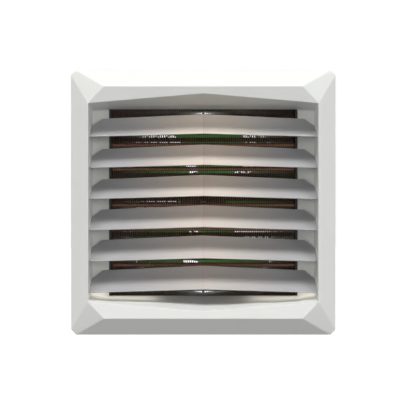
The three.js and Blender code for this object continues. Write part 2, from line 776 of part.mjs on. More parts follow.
function retainingRing() {
  const inner = motor.shaftRadius + 0.2;
  const shape = new THREE.Shape();
  const opening = 0.5;
  shape.absarc(0, 0, motor.shaftRadius + 2.4, opening, 2 * Math.PI - opening, false);
  shape.absarc(0, 0, inner, 2 * Math.PI - opening, opening, true);
  const geometry = new THREE.ExtrudeGeometry(shape, { depth: 1.2, bevelEnabled: false, curveSegments: 6 });
  geometry.rotateX(Math.PI / 2);
  geometry.translate(0, at(motor.rearBearing + motor.bearingWidth + 1.5), 0);
  return toSolid(geometry);
}

add('motor_stator', statorSolid(), castAluminium());
add('front_bearing', bearing(motor.frontBearing), steel());
add('rear_bearing', bearing(motor.rearBearing), steel());
add('retaining_ring', retainingRing(), steel());
add('motor_shaft', revolve([
  [0, fan.frontDepth - 3], [5, fan.frontDepth - 3], [motor.shaftRadius, fan.frontDepth - 2],
  [motor.shaftRadius, motor.shaftRear - 1], [5, motor.shaftRear], [0, motor.shaftRear],
], 16), steel());
add('motor_rotor', revolve([
  [motor.shaftRadius + gap, fan.frontDepth], [fan.rotorRadius - 6, fan.frontDepth],
  [fan.rotorRadius, fan.frontDepth + 5], [fan.rotorRadius, fan.rotorRear],
  [fan.rotorRadius - 4, fan.rotorRear],
  [fan.rotorRadius - 4, fan.frontDepth + 9], [13, fan.frontDepth + 9], [13, fan.frontDepth + 14],
  [motor.shaftRadius + gap, fan.frontDepth + 14],
], fan.hubSides), blackPlastic());

// ---------- fan impeller ----------
// One sickle blade: at each radius a cambered section is wrapped round the fan axis.
function fanBlade() {
  const sections = 7;
  const across = [-1, -0.55, 0, 0.55, 1];
  const rings = Array.from({ length: sections }, (_, i) => {
    const s = i / (sections - 1);
    const r = fan.hubRadius - 2.5 + (fan.radius - fan.hubRadius + 2.5) * s;
    const lean = fan.sweep * (s * s * 1.35 - s * 0.35);
    const width = fan.rootWidth + (fan.tipWidth - fan.rootWidth) * s;
    const rise = fan.rootRise + (fan.tipRise - fan.rootRise) * s ** 0.8;
    const thick = 4.4 - 2 * s;
    const point = (u, face) => {
      const angle = lean + width * u;
      const bulge = 1 - u * u;
      const d = fan.bladeDepth + rise * u - fan.camber * bulge + face * thick * (0.35 + 0.65 * bulge) / 2;
      return [r * Math.cos(angle), at(d), r * Math.sin(angle)];
    };
    return [...across.map((u) => point(u, 1)), ...across.map((u) => point(-u, -1))];
  });
  return loft(rings);
}

function impeller() {
  const hub = revolve([
    [fan.rotorRadius + gap, fan.hubDepth], [fan.hubRadius - 1, fan.hubDepth],
    [fan.hubRadius, fan.hubDepth + 2], [fan.hubRadius, fan.hubRear], [fan.rotorRadius + gap, fan.hubRear],
  ], fan.hubSides);
  const turnOf = (i) => (2 * Math.PI * i) / fan.blades;
  const blades = Array.from({ length: fan.blades }, (_, i) => toSolid(fanBlade().rotateY(turnOf(i))));
  return join([hub, ...blades]);
}

add('fan_impeller', impeller(), greenPlastic());

// ---------- fan guard ----------
const guardDepth = (r) => guard.plateDepth + 1.5 - guard.dome * ((r - guard.plateRadius) / 162) ** 2.2;

function guardRing(r) {
  const geometry = new THREE.TorusGeometry(r, guard.wire, 4, 20);
  geometry.rotateX(Math.PI / 2);
  geometry.translate(0, at(guardDepth(r)), 0);
  return toSolid(geometry);
}

// Radial spoke on a diagonal, which steps down over the nozzle lip to its screw foot.
function guardSpoke(index) {
  const turn = (2 * Math.PI * (index + 0.5)) / guard.spokes;
  const reaches = [guard.plateRadius - 1, 128, 156, 184, 224];
  const stops = reaches.map((r) => [r, guardDepth(Math.max(r, guard.plateRadius))]);
  stops.push([233, boss.depth + 3]);
  return sweep(stops.map(([r, d]) => new THREE.Vector3(r * Math.cos(turn), at(d), r * Math.sin(turn))),
    guard.spokeWire, 4);
}

function fanGuard() {
  const plate = rodY(guard.plateRadius, guard.plateDepth, guard.plateDepth + guard.plateThickness, 0, 0, 18);
  const feet = guardPlaces.map(([x, z]) => rodY(9, boss.depth + gap, boss.depth + 2.8, x, z, 8));
  const rings = guard.ringRadii.map(guardRing);
  const spokes = Array.from({ length: guard.spokes }, (_, i) => guardSpoke(i));
  const holes = [
    ...guardPlaces.map(([x, z]) => rodY(2.3, boss.depth - 1, boss.depth + 9, x, z, 6)),
    ...motorScrewPlaces.map(([x, z]) => rodY(2.4, guard.plateDepth - 1, guard.plateDepth + 5, x, z, 6)),
  ];
  return cut(join([plate, ...feet, ...rings, ...spokes]), holes);
}

add('fan_guard', fanGuard(), blackWire());
addScrews('guard_screw', guardPlaces, boss.depth + 3.1, screwSolid(1.7, 4, 16, 2.4));
addScrews('motor_screw', motorScrewPlaces, guard.plateDepth + guard.plateThickness + gap,
  screwSolid(1.8, 3.6, 12, 2.6));

// ---------- motor electronics ----------
function electronicsHousing() {
  const e = electronics;
  const pot = revolve([
    [0, e.front], [e.radius, e.front], [e.radius, e.rear - 5], [e.radius - 5, e.rear], [0, e.rear],
  ], 24);
  const ribs = Array.from({ length: e.ribs }, (_, i) => {
    const turn = (2 * Math.PI * (i + 0.5)) / e.ribs;
    const geometry = new THREE.BoxGeometry(4, e.rear - e.front - 6, 2);
    geometry.translate(e.radius + 0.6, at((e.front + e.rear - 6) / 2), 0);
    return toSolid(geometry.rotateY(turn));
  });
  const pad = box([-11, e.front + 5, -e.radius - 4], [11, e.rear - 4, -e.radius + 8]);
  const cavity = box([-14, e.rear - 8, -14], [14, e.rear + 1, 14]);
  const pilots = coverScrewPlaces.map(([x, z]) => rodY(1.7, e.rear - 12, e.rear + 1, x, z, 6));
  return cut(join([pot, ...ribs, pad]), [cavity, ...pilots]);
}

const coverScrewPlaces = [[-25, 0], [25, 0]];

function terminalCover() {
  const e = electronics;
  const from = e.rear + gap;
  const to = depth - 2;
  const edge = e.lidRadius;
  const lid = revolve([[0, from], [edge, from], [edge, to - 2], [edge - 2, to], [0, to]], 18);
  const holes = coverScrewPlaces.map(([x, z]) => rodY(2, from - 1, depth, x, z, 6));
  return cut(lid, holes);
}

function cableGland() {
  const e = electronics;
  const top = -e.radius - 4 - gap;
  const d = (e.front + e.rear + 1) / 2;
  const hex = rodZ(9.8, top - 5, top, 0, d, 6);
  const body = rodZ(7.6, top - 12, top - 4, 0, d, 12);
  const nut = rodZ(9.2, top - 20, top - 11, 0, d, 6);
  return join([hex, body, nut]).subtract(rodZ(3.4, top - 21, top - 9, 0, d, 10));
}

add('electronics_housing', electronicsHousing(), castAluminium());
add('terminal_cover', terminalCover(), blackPlastic());
add('cable_gland', cableGland(), blackPlastic());
addScrews('terminal_screw', coverScrewPlaces, depth - 2, screwSolid(1.4, 3.2, 13, 2));

export default root;
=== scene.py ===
import bpy
import numpy as np
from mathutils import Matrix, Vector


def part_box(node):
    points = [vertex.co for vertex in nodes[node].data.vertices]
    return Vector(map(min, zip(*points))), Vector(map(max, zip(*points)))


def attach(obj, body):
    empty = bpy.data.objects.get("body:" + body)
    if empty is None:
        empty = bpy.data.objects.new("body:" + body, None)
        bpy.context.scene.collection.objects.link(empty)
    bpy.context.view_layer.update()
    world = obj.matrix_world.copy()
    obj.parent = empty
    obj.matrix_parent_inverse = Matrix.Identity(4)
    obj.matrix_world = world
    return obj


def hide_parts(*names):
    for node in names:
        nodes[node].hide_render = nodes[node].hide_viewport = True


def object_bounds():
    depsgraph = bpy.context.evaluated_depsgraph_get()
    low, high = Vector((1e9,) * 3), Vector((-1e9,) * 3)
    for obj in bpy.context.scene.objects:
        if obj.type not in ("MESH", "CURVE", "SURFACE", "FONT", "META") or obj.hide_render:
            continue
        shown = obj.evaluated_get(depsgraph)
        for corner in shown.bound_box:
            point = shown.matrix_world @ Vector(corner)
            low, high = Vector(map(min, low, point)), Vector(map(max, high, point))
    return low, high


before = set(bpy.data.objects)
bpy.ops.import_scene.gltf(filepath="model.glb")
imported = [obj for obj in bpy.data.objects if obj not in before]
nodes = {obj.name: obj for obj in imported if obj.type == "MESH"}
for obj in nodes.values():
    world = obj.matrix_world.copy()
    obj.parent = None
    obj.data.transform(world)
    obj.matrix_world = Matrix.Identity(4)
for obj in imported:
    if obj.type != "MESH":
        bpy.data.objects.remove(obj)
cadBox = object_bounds()
mm = 0.001
frontPlane = cadBox[0].y / mm
print("frame loaded,", len(nodes), "nodes")


# ---- shape tools ----

# Lengths of the vectors along the last axis, never quite zero.
def lengthOf(vectors):
    return np.linalg.norm(vectors, axis=-1, keepdims=True) + 1e-9


# Quads of a grid of rows by columns, joined last to first where it wraps.
def gridQuads(rows, columns, wrapRows, wrapColumns):
    rowStarts, columnStarts = np.arange(rows - (not wrapRows)), np.arange(columns - (not wrapColumns))
    r, c = np.meshgrid(rowStarts, columnStarts, indexing="ij")
    nextR, nextC = (r + 1) % rows, (c + 1) % columns
    corners = [r * columns + c, r * columns + nextC, nextR * columns + nextC, nextR * columns + c]
    return np.stack(corners, -1).reshape(-1, 4)


# Volume inside the faces: the sum of the tetrahedra from the origin to each fan triangle.
def volumeOf(points, quads, caps):
    fans = [quads[:, [0, 1, 2]], quads[:, [0, 2, 3]]]
    fans += [np.stack([np.full(len(cap) - 2, cap[0]), cap[1:-1], cap[2:]], -1) for cap in caps]
    a, b, c = (points[np.concatenate(fans)[:, k]] for k in range(3))
    return np.einsum("ij,ij->i", a, np.cross(b, c)).sum() / 6


# Closed skin over a grid of points (rows, columns, 3). Columns run round. Rows are joined
# last to first in a torus, and otherwise end in a flat face. Faces are turned outwards.
def skin(grid, torus=False):
    rows, columns = grid.shape[:2]
    points = grid.reshape(-1, 3)
    quads = gridQuads(rows, columns, torus, True)
    caps = [] if torus else [np.arange(columns)[::-1], np.arange(columns) + (rows - 1) * columns]
    if volumeOf(points, quads, caps) < 0:
        quads, caps = quads[:, ::-1], [cap[::-1] for cap in caps]
    return points, quads, caps


# Rounds the corners of outlines (..., corners, axes) by one cut length per corner: each corner
# becomes the quadratic arc (1-u)^2 a + 2u(1-u) p + u^2 b between points a and b that lie the cut
# length before and after it, with a support point a little beyond either end.
def rounded(points, cuts, steps=4, closed=True):
    points = np.asarray(points, float)
    before, after = np.roll(points, 1, -2) - points, np.roll(points, -1, -2) - points
    lengthB, lengthA = lengthOf(before), lengthOf(after)
    cuts = np.broadcast_to(np.asarray(cuts, float), points.shape[:-1])[..., None]
    cut = np.minimum(cuts, 0.4 * np.minimum(lengthB, lengthA))
    a, b = points + before / lengthB * cut, points + after / lengthA * cut
    u = np.linspace(0, 1, steps + 1)[:, None]
    p, a, b = points[..., None, :], a[..., None, :], b[..., None, :]
    arc = (1 - u) ** 2 * a + 2 * u * (1 - u) * p + u ** 2 * b
    supports = [p + (end - p) * 1.2 for end in (a, b)]
    made = np.concatenate([supports[0], arc, supports[1]], -2)
    if not closed:
        made = made[..., 1:-1, :, :]
    made = made.reshape(*made.shape[:-3], -1, made.shape[-1])
    return made if closed else np.concatenate([points[..., :1, :], made, points[..., -1:, :]], -2)


# Even angles round a full turn.
def turns(count):
    return np.linspace(0, 2 * np.pi, count, endpoint=False)


# Surface of revolution about the line along the depth through (x, z): a point of the profile
# (radius, depth) at angle t lies at (x + r cos t, depth, z + r sin t). A ring profile closes on
# itself, and any other starts and ends in a small flat face on the axis.
def revolve(profile, cuts=0.4, steps=48, ring=False, x=0, z=0, arc=3):
    profile = rounded(profile, cuts, arc, ring)
    r, d = profile[:, :1], profile[:, 1:]
    t = turns(steps)[None, :]
    return skin(np.stack([x + r * np.cos(t), d + 0 * t, z + r * np.sin(t)], -1), ring)


# Turned ring between two radii and two depths.
def turnedRing(inner, outer, front, rear, cut, steps, x=0, z=0):
    section = [(inner, front), (outer, front), (outer, rear), (inner, rear)]
    return revolve(section, cut, steps, True, x, z)


# Outline (u, v) carried along one axis through levels of (scale, place on the axis).
def stack(outline, levels, axis="d", centre=(0, 0, 0)):
    outline, levels = np.asarray(outline, float), np.asarray(levels, float)
    uv = outline[None] * levels[:, :1, None]
    w = np.broadcast_to(levels[:, 1:], uv.shape[:2])
    u, v = uv[..., 0], uv[..., 1]
    order = {"d": (u, w, v), "x": (w, u, v), "z": (u, v, w)}
    return skin(np.stack(order[axis], -1) + np.asarray(centre, float))


# Levels of a bar between two places, with both ends drawn in by a small chamfer.
def barLevels(start, end, chamfer, reach):
    scale = 1 - chamfer / reach
    sign = np.sign(end - start)
    return [(scale, start), (1, start + sign * chamfer), (1, end - sign * chamfer), (scale, end)]


# Round outline, or a flat-sided one with its corners rounded.
def disc(radius, sides=32, cut=0.0):
    t = turns(sides)
    outline = np.stack([radius * np.cos(t), radius * np.sin(t)], -1)
    return rounded(outline, cut, 2) if cut else outline


# Rectangle outline with rounded corners.
def plate(halfU, halfV, cut):
    return rounded([(halfU, halfV), (-halfU, halfV), (-halfU, -halfV), (halfU, -halfV)], cut, 3)


# Round wire along a path that lies in a plane square to `square`: a point of the section at
# angle t lies at path + radius (cos t square + sin t (along x square)).
def wire(path, square, radius, closed=False):
    path = np.asarray(path, float)
    if closed:
        along = np.roll(path, -1, 0) - np.roll(path, 1, 0)
    else:
        along = np.gradient(path, axis=0)
    along = along / lengthOf(along)
    square = np.broadcast_to(np.asarray(square, float), path.shape)
    side = np.cross(along, square)
    t = turns(10)[None, :, None]
    return skin(path[:, None] + radius * (np.cos(t) * square[:, None] + np.sin(t) * side[:, None]), closed)


# The same form moved by an offset, or turned about the fan axis.
def moved(form, offset):
    return form[0] + np.asarray(offset, float), form[1], form[2]


def turned(form, angle):
    x, d, z = form[0].T
    c, s = np.cos(angle), np.sin(angle)
    return np.stack([x * c - z * s, d, x * s + z * c], -1), form[1], form[2]


# The four places that lie one distance out in x and in z.
def fourPlaces(reach):
    return [(a * reach, b * reach) for a in (-1, 1) for b in (-1, 1)]


# An object in the scene for a mesh, a lamp or a camera.
def addObject(name, data):
    made = bpy.data.objects.new(name, data)
    bpy.context.scene.collection.objects.link(made)
    return made


# One object from its forms, with smooth faces and edges kept sharp past an angle. A crease is
# also kept sharp along the middle of the width.
def piece(name, forms, finish, body, stands, sharp=38, crease=False):
    starts = np.cumsum([0] + [len(form[0]) for form in forms])[:-1]
    points = np.concatenate([form[0] for form in forms])
    quads = np.concatenate([form[1] + s for form, s in zip(forms, starts)])
    caps = [cap + s for form, s in zip(forms, starts) for cap in form[2]]
    corners = np.concatenate([quads.ravel(), *caps]).astype(np.int32)
    sizes = np.concatenate([np.full(len(quads), 4), [len(cap) for cap in caps]]).astype(np.int32)
    mesh = bpy.data.meshes.new(name)
    mesh.vertices.add(len(points))
    mesh.vertices.foreach_set("co", ((points + [0, frontPlane, 0]) * mm).astype(np.float32).ravel())
    mesh.loops.add(len(corners))
    mesh.loops.foreach_set("vertex_index", corners)
    mesh.polygons.add(len(sizes))
    mesh.polygons.foreach_set("loop_start", (np.cumsum(sizes) - sizes).astype(np.int32))
    mesh.polygons.foreach_set("use_smooth", np.ones(len(sizes), bool))
    mesh.update(calc_edges=True)
    mesh.set_sharp_from_angle(angle=np.radians(sharp))
    if crease:
        middle = np.abs(points[:, 0]) < 1e-6
        ends = np.empty(len(mesh.edges) * 2, np.int32)
        mesh.edges.foreach_get("vertices", ends)
        for edge in np.flatnonzero(middle[ends.reshape(-1, 2)].all(1)):
            mesh.edges[int(edge)].use_edge_sharp = True
    mesh.materials.append(finish)
    made = addObject(name, mesh)
    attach(made, body)
    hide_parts(*stands)


# ---- finishes ----

# Node group with named inputs of (name, kind, default) and outputs of (name, kind).
def newGroup(name, inputs, outputs):
    group = bpy.data.node_groups.new(name, "ShaderNodeTree")
    for label, kind, default in inputs:
        socket = group.interface.new_socket(label, in_out="INPUT", socket_type="NodeSocket" + kind)
        socket.default_value = default
    for label, kind in outputs:
        group.interface.new_socket(label, in_out="OUTPUT", socket_type="NodeSocket" + kind)
    return group, group.nodes.new("NodeGroupInput"), group.nodes.new("NodeGroupOutput")


# Joins an input to the socket that is given, or sets it to the value.
def feed(tree, socket, value):
    if isinstance(value, bpy.types.NodeSocket):
        tree.links.new(value, socket)
    else:
        socket.default_value = value


# Adds a node, sets its options, and feeds its inputs by name or number.
def addNode(tree, kind, options=None, **inputs):
    node = tree.nodes.new("ShaderNode" + kind)
    for key, value in (options or {}).items():
        setattr(node, key, value)
    for key, value in inputs.items():
        numbered = key[0] == "i" and key[1:].isdigit()
        feed(tree, node.inputs[int(key[1:]) if numbered else key], value)
    return node


def addMath(tree, operation, first, second=0.0, clamp=False):
    node = addNode(tree, "Math", {"operation": operation, "use_clamp": clamp}, i0=first, i1=second)
    return node.outputs[0]


def addMix(tree, share, first, second):
    node = tree.nodes.new("ShaderNodeMix")
    node.data_type = "RGBA"
    for number, value in ((0, share), (6, first), (7, second)):
        feed(tree, node.inputs[number], value)
    return node.outputs[2]


def noiseOf(tree, place, scale, detail=2.0, rough=0.5):
    return addNode(tree, "TexNoise", None, Vector=place, Scale=scale, Detail=detail,
                   Roughness=rough).outputs[0]


# Fade from one value to another while the given value runs from start to end.
def addFade(tree, value, start, end, first, last, way="LINEAR"):
    return addNode(tree, "MapRange", {"interpolation_type": way}, i0=value, i1=start, i2=end,
                   i3=first, i4=last).outputs[0]


def objectPlace(tree):
    return addNode(tree, "TexCoord").outputs["Object"]


# Spark-eroded skin of a moulding: fine grain over a slow unevenness.
# Height is for a bump, Tone is an uneven value round 0.5.
def mouldedGroup():
    tree, given, made = newGroup("mouldedSkin", [("Grain", "Float", 1200.0), ("Slow", "Float", 30.0)],
                                 [("Height", "Float"), ("Tone", "Float")])
    place = objectPlace(tree)
    fine = noiseOf(tree, place, given.outputs["Grain"], 3.0, 0.6)
    slow = noiseOf(tree, place, given.outputs["Slow"], 2.0, 0.5)
    height = addMath(tree, "ADD", addMath(tree, "MULTIPLY", fine, 0.6),
                     addMath(tree, "MULTIPLY", slow, 0.4))
    tree.links.new(height, made.inputs["Height"])
    tree.links.new(slow, made.inputs["Tone"])
    return tree


# Drift of a colour: mixes towards a second colour by slow noise, more where dust settles on top.
def toneGroup():
    tree, given, made = newGroup("toneDrift", [
        ("Color", "Color", (1, 1, 1, 1)), ("Other", "Color", (0.5, 0.5, 0.5, 1)),
        ("Scale", "Float", 12.0), ("Amount", "Float", 0.2), ("Dust", "Float", 0.1)],
        [("Color", "Color")])
    place = objectPlace(tree)
    patches = noiseOf(tree, place, given.outputs["Scale"], 4.0, 0.6)
    share = addMath(tree, "MULTIPLY", patches, given.outputs["Amount"])
    normal = addNode(tree, "NewGeometry").outputs["Normal"]
    facing = addNode(tree, "SeparateXYZ", None, Vector=normal).outputs["Z"]
    settled = addMath(tree, "MULTIPLY", addMath(tree, "MAXIMUM", facing, 0.0), given.outputs["Dust"])
    speckle = addMath(tree, "MULTIPLY", settled, noiseOf(tree, place, 160.0, 5.0, 0.7))
    mask = addMath(tree, "ADD", share, speckle, True)
    tree.links.new(addMix(tree, mask, given.outputs["Color"], given.outputs["Other"]), made.inputs["Color"])
    return tree


# Edge rub: a mask along outward edges, broken up by noise.
def edgeGroup():
    tree, given, made = newGroup("edgeRub", [("Reach", "Float", 0.06), ("Amount", "Float", 0.5)],
                                 [("Mask", "Float")])
    place = objectPlace(tree)
    raised = addMath(tree, "SUBTRACT", addNode(tree, "NewGeometry").outputs["Pointiness"], 0.5)
    ridge = addMath(tree, "DIVIDE", raised, given.outputs["Reach"], True)
    broken = addMath(tree, "MULTIPLY", ridge, noiseOf(tree, place, 220.0, 3.0, 0.7))
    tree.links.new(addMath(tree, "MULTIPLY", broken, given.outputs["Amount"], True), made.inputs["Mask"])
    return tree


# Drawn or rolled metal: noise stretched along one axis, as Height and as Mask.
def drawnGroup():
    tree, given, made = newGroup("drawnMetal", [("Stretch", "Vector", (40.0, 900.0, 900.0))],
                                 [("Height", "Float"), ("Mask", "Float")])
    place = objectPlace(tree)
    stretched = addNode(tree, "VectorMath", {"operation": "MULTIPLY"}, i0=place,
                        i1=given.outputs["Stretch"]).outputs[0]
    streaks = noiseOf(tree, stretched, 1.0, 3.0, 0.6)
    blotches = noiseOf(tree, place, 45.0, 4.0, 0.6)
    tree.links.new(streaks, made.inputs["Height"])
    tree.links.new(addMath(tree, "ADD", addMath(tree, "MULTIPLY", streaks, 0.5),
                           addMath(tree, "MULTIPLY", blotches, 0.5)), made.inputs["Mask"])
    return tree


# Painted light in the middle of a louvre: places and widths in metres, how strong each mask is at most, and
# the colours of the painted shade line and the painted reddish light.
paintedLightSizes = {
    "centre": 0.004, "lowShare": 0.25, "shadeLineWidth": 0.0014, "shadeLineAmount": 0.16,
    "lightFlushWidth": 0.022, "lightFlushAmount": 0.4,
    "shadeLineColor": (0.2, 0.2, 0.2, 1), "lightFlushColor": (0.66, 0.52, 0.5, 1),
}


# Painted light and shade on a louvre. Mask is a painted warm light that fades from 1 near the middle of the
# width to 0 at Reach from it, and weaker from High down to Low. The second output is a painted shade line
# along the crease itself, and the third a narrow painted reddish light that fades to the right of it.
def paintedLightGroup(m):
    tree, given, made = newGroup("paintedLouvreLight", [("Reach", "Float", 0.19), ("Low", "Float", -0.22),
                                                ("High", "Float", 0.06)],
                                 [("Mask", "Float"), ("Line", "Float"), ("PaintedLightFlush", "Float")])
    place = addNode(tree, "SeparateXYZ", None, Vector=objectPlace(tree))
    # Painted warm light: strongest across the middle of the width and weaker lower down.
    aside = addMath(tree, "ABSOLUTE", addMath(tree, "SUBTRACT", place.outputs["X"], m["centre"]))
    across = addFade(tree, aside, 0.0, given.outputs["Reach"], 1.0, 0.0, "SMOOTHSTEP")
    height = addFade(tree, place.outputs["Z"], given.outputs["Low"], given.outputs["High"],
                     m["lowShare"], 1.0)
    tree.links.new(addMath(tree, "MULTIPLY", across, height), made.inputs["Mask"])
    # Painted shade: a darker line along the crease.
    fromCrease = addMath(tree, "ABSOLUTE", place.outputs["X"])
    shadeLine = addFade(tree, fromCrease, 0.0, m["shadeLineWidth"], m["shadeLineAmount"], 0.0)
    tree.links.new(shadeLine, made.inputs["Line"])
    # Painted light: a reddish light that fades to the right of the crease.
    lightFlush = addFade(tree, place.outputs["X"], 0.0, m["lightFlushWidth"], m["lightFlushAmount"], 0.0)
    right = addMath(tree, "GREATER_THAN", place.outputs["X"], 0.0)
    tree.links.new(addMath(tree, "MULTIPLY", lightFlush, right), made.inputs["PaintedLightFlush"])
    return tree


# The middle group paints light and shade on the louvres.
groups = {"skin": mouldedGroup(), "tone": toneGroup(), "edge": edgeGroup(), "drawn": drawnGroup(),
          "middle": paintedLightGroup(paintedLightSizes)}


def useGroup(tree, name, **inputs):
    node = tree.nodes.new("ShaderNodeGroup")
    node.node_tree = groups[name]
    for key, value in inputs.items():
        feed(tree, node.inputs[key], value)
    return node


def newMaterial(name):
    material = bpy.data.materials.new(name)
    material.use_nodes = True
    tree = material.node_tree
    return material, tree, tree.nodes["Principled BSDF"]


def spread(tree, mask, low, high):
    return addMath(tree, "ADD", addMath(tree, "MULTIPLY", mask, high - low), low)


def bumpFrom(tree, height, strength, distance):
    return addNode(tree, "Bump", None, Height=height, Strength=strength, Distance=distance).outputs[0]


# A moulded plastic or rubber: grain, slow tone drift, dust on top and rubbed edges, and on the louvres
# painted light and shade along the middle of the width.
def moulded(name, color, other, worn, roughness, grain=1200.0, relief=0.00004, middle=None):
    material, tree, shader = newMaterial(name)
    surface = useGroup(tree, "skin", Grain=grain)
    tone = useGroup(tree, "tone", Color=(*color, 1), Other=(*other, 1), Amount=0.25, Dust=0.12)
    edge = useGroup(tree, "edge", Amount=0.35)
    mixed = addMix(tree, edge.outputs["Mask"], tone.outputs["Color"], (*worn, 1))
    # Painted light and shade along the middle of a louvre: a warm tint, a reddish light right of the crease
    # and a darker line on it.
    if middle:
        paintedLight = useGroup(tree, "middle")
        mixed = addMix(tree, paintedLight.outputs["Mask"], mixed, (*middle, 1))
        mixed = addMix(tree, paintedLight.outputs["PaintedLightFlush"], mixed, paintedLightSizes["lightFlushColor"])
        mixed = addMix(tree, paintedLight.outputs["Line"], mixed, paintedLightSizes["shadeLineColor"])
    tree.links.new(mixed, shader.inputs["Base Color"])
    tree.links.new(spread(tree, surface.outputs["Tone"], roughness - 0.06, roughness + 0.08),
                   shader.inputs["Roughness"])
    tree.links.new(bumpFrom(tree, surface.outputs["Height"], 0.5, relief), shader.inputs["Normal"])
    return material


# A drawn, rolled or cast metal: streaks in its gloss, and patches in its colour.
def metal(name, color, other, roughness, stretch=(40.0, 900.0, 900.0), relief=0.00003, metallic=1.0):
    material, tree, shader = newMaterial(name)
    surface = useGroup(tree, "drawn", Stretch=stretch)
    tone = useGroup(tree, "tone", Color=(*color, 1), Other=(*other, 1), Scale=30.0, Amount=0.5, Dust=0.1)
    tree.links.new(tone.outputs["Color"], shader.inputs["Base Color"])
    tree.links.new(spread(tree, surface.outputs["Mask"], roughness - 0.1, roughness + 0.12),
                   shader.inputs["Roughness"])
    tree.links.new(bumpFrom(tree, surface.outputs["Height"], 0.4, relief), shader.inputs["Normal"])
    shader.inputs["Metallic"].default_value = metallic
    return material


finishes = {
    "white": moulded("whitePlastic", (0.80, 0.81, 0.78), (0.74, 0.75, 0.72), (0.86, 0.86, 0.84), 0.42),
    # The louvres carry painted light: a warm tint of the middle colour across the middle of the width,
    # stronger higher up, with a painted shade line and a painted reddish light at the crease.
    "louvre": moulded("louvrePlasticWithPaintedLight", (0.45, 0.45, 0.455), (0.41, 0.41, 0.42), (0.5, 0.5, 0.5), 0.36, 1500.0,
                      middle=(0.78, 0.69, 0.6)),
    "grey": moulded("greyPlastic", (0.27, 0.29, 0.31), (0.22, 0.24, 0.26), (0.36, 0.38, 0.4), 0.5, 700.0,
                    0.00008),
    "black": moulded("blackPlastic", (0.018, 0.019, 0.02), (0.04, 0.04, 0.042), (0.08, 0.08, 0.08), 0.45),
    "green": moulded("greenPlastic", (0.07, 0.33, 0.05), (0.05, 0.26, 0.04), (0.16, 0.45, 0.12), 0.4),
    "rubber": moulded("rubber", (0.02, 0.02, 0.02), (0.035, 0.034, 0.033), (0.06, 0.06, 0.06), 0.75),
    "foam": moulded("foam", (0.025, 0.026, 0.028), (0.05, 0.05, 0.05), (0.06, 0.06, 0.06), 0.92, 400.0,
                    0.0004),
    "wire": moulded("coatedWire", (0.02, 0.021, 0.022), (0.03, 0.03, 0.03), (0.1, 0.1, 0.1), 0.38, 900.0),
    # The fins' brown is painted warm light and copper glow seen between the fins, not the colour of the fin
    # metal.
    "fin": metal("finMetalWithPaintedWarmLight", (0.32, 0.23, 0.18), (0.2, 0.13, 0.1), 0.45, (900.0, 900.0, 40.0), metallic=0.6),
    "copper": metal("copper", (0.34, 0.17, 0.11), (0.2, 0.1, 0.07), 0.45),
    "dark": moulded("darkSteel", (0.016, 0.016, 0.017), (0.03, 0.029, 0.028), (0.06, 0.06, 0.06), 0.5, 600.0),
    "brass": metal("brass", (0.62, 0.46, 0.2), (0.45, 0.31, 0.13), 0.32),
    "steel": metal("steel", (0.55, 0.56, 0.57), (0.4, 0.41, 0.42), 0.3),
    "cast": metal("castAluminium", (0.45, 0.46, 0.47), (0.33, 0.34, 0.35), 0.48, (500.0, 500.0, 500.0),
                  0.0001),
}
print("finishes ready")


# ---- front cover ----

coverSizes = {
    "half": 268, "chamfer": 10, "bevelDepth": 27, "skirtHalf": 262, "skirtDepth": 78, "wall": 3,
    "ridgeX": 231.5, "ridgeZ": 232, "cornerX": 198, "cornerZ": 199,
    "bandSlope": 5.5 / 33,       # how far the front bands sink per millimetre towards the outlet
    "mouthX": 230.5, "mouthZ": 199, "apexZ": 218,
    "sideDepth": 70,             # the side walls of the outlet run straight to here
    "rearX": 198, "rearZ": 196, "rearDepth": 100,
    "foldX": 190,                # the top wall folds here towards the corner facet
    "facetDrop": 6,              # how far the corner facet falls at the straight wall's end
    "funnelWall": 2.7, "flangeHalf": 208, "flange": 2.5, "flangeChamfer": 3,
    "cornerStep": 2,             # how far the walls stop short of the outlet's rear corners
    "innerFront": 10,            # depth where the back of the funnel wall starts
    "innerChamfer": 1.7,         # the inner chamfer is shorter by this
    "bushBore": 4.0, "bushFoot": 6.2, "bushHead": 6.6,
    "bushEnd": 6,                # how far a bush ends beyond the mouth's side
}


# Four points of a ring, apex, a, b and middle of the side, mirrored to the twelve of a whole ring.
def wholeRing(apex, a, b, middle):
    quarter = np.array([apex, a, b, middle], float)
    lower = quarter[[2, 1, 0]] * [1, 1, -1]
    right = np.concatenate([quarter, lower])
    left = right[1:-1][::-1] * [-1, 1, 1]
    return np.concatenate([right, left])


# Ring of a square with cut corners at one depth.
def squareRing(half, chamfer, d):
    inside = half - chamfer
    return wholeRing((0, d, half), (inside, d, half), (half, d, inside), (half, d, 0))


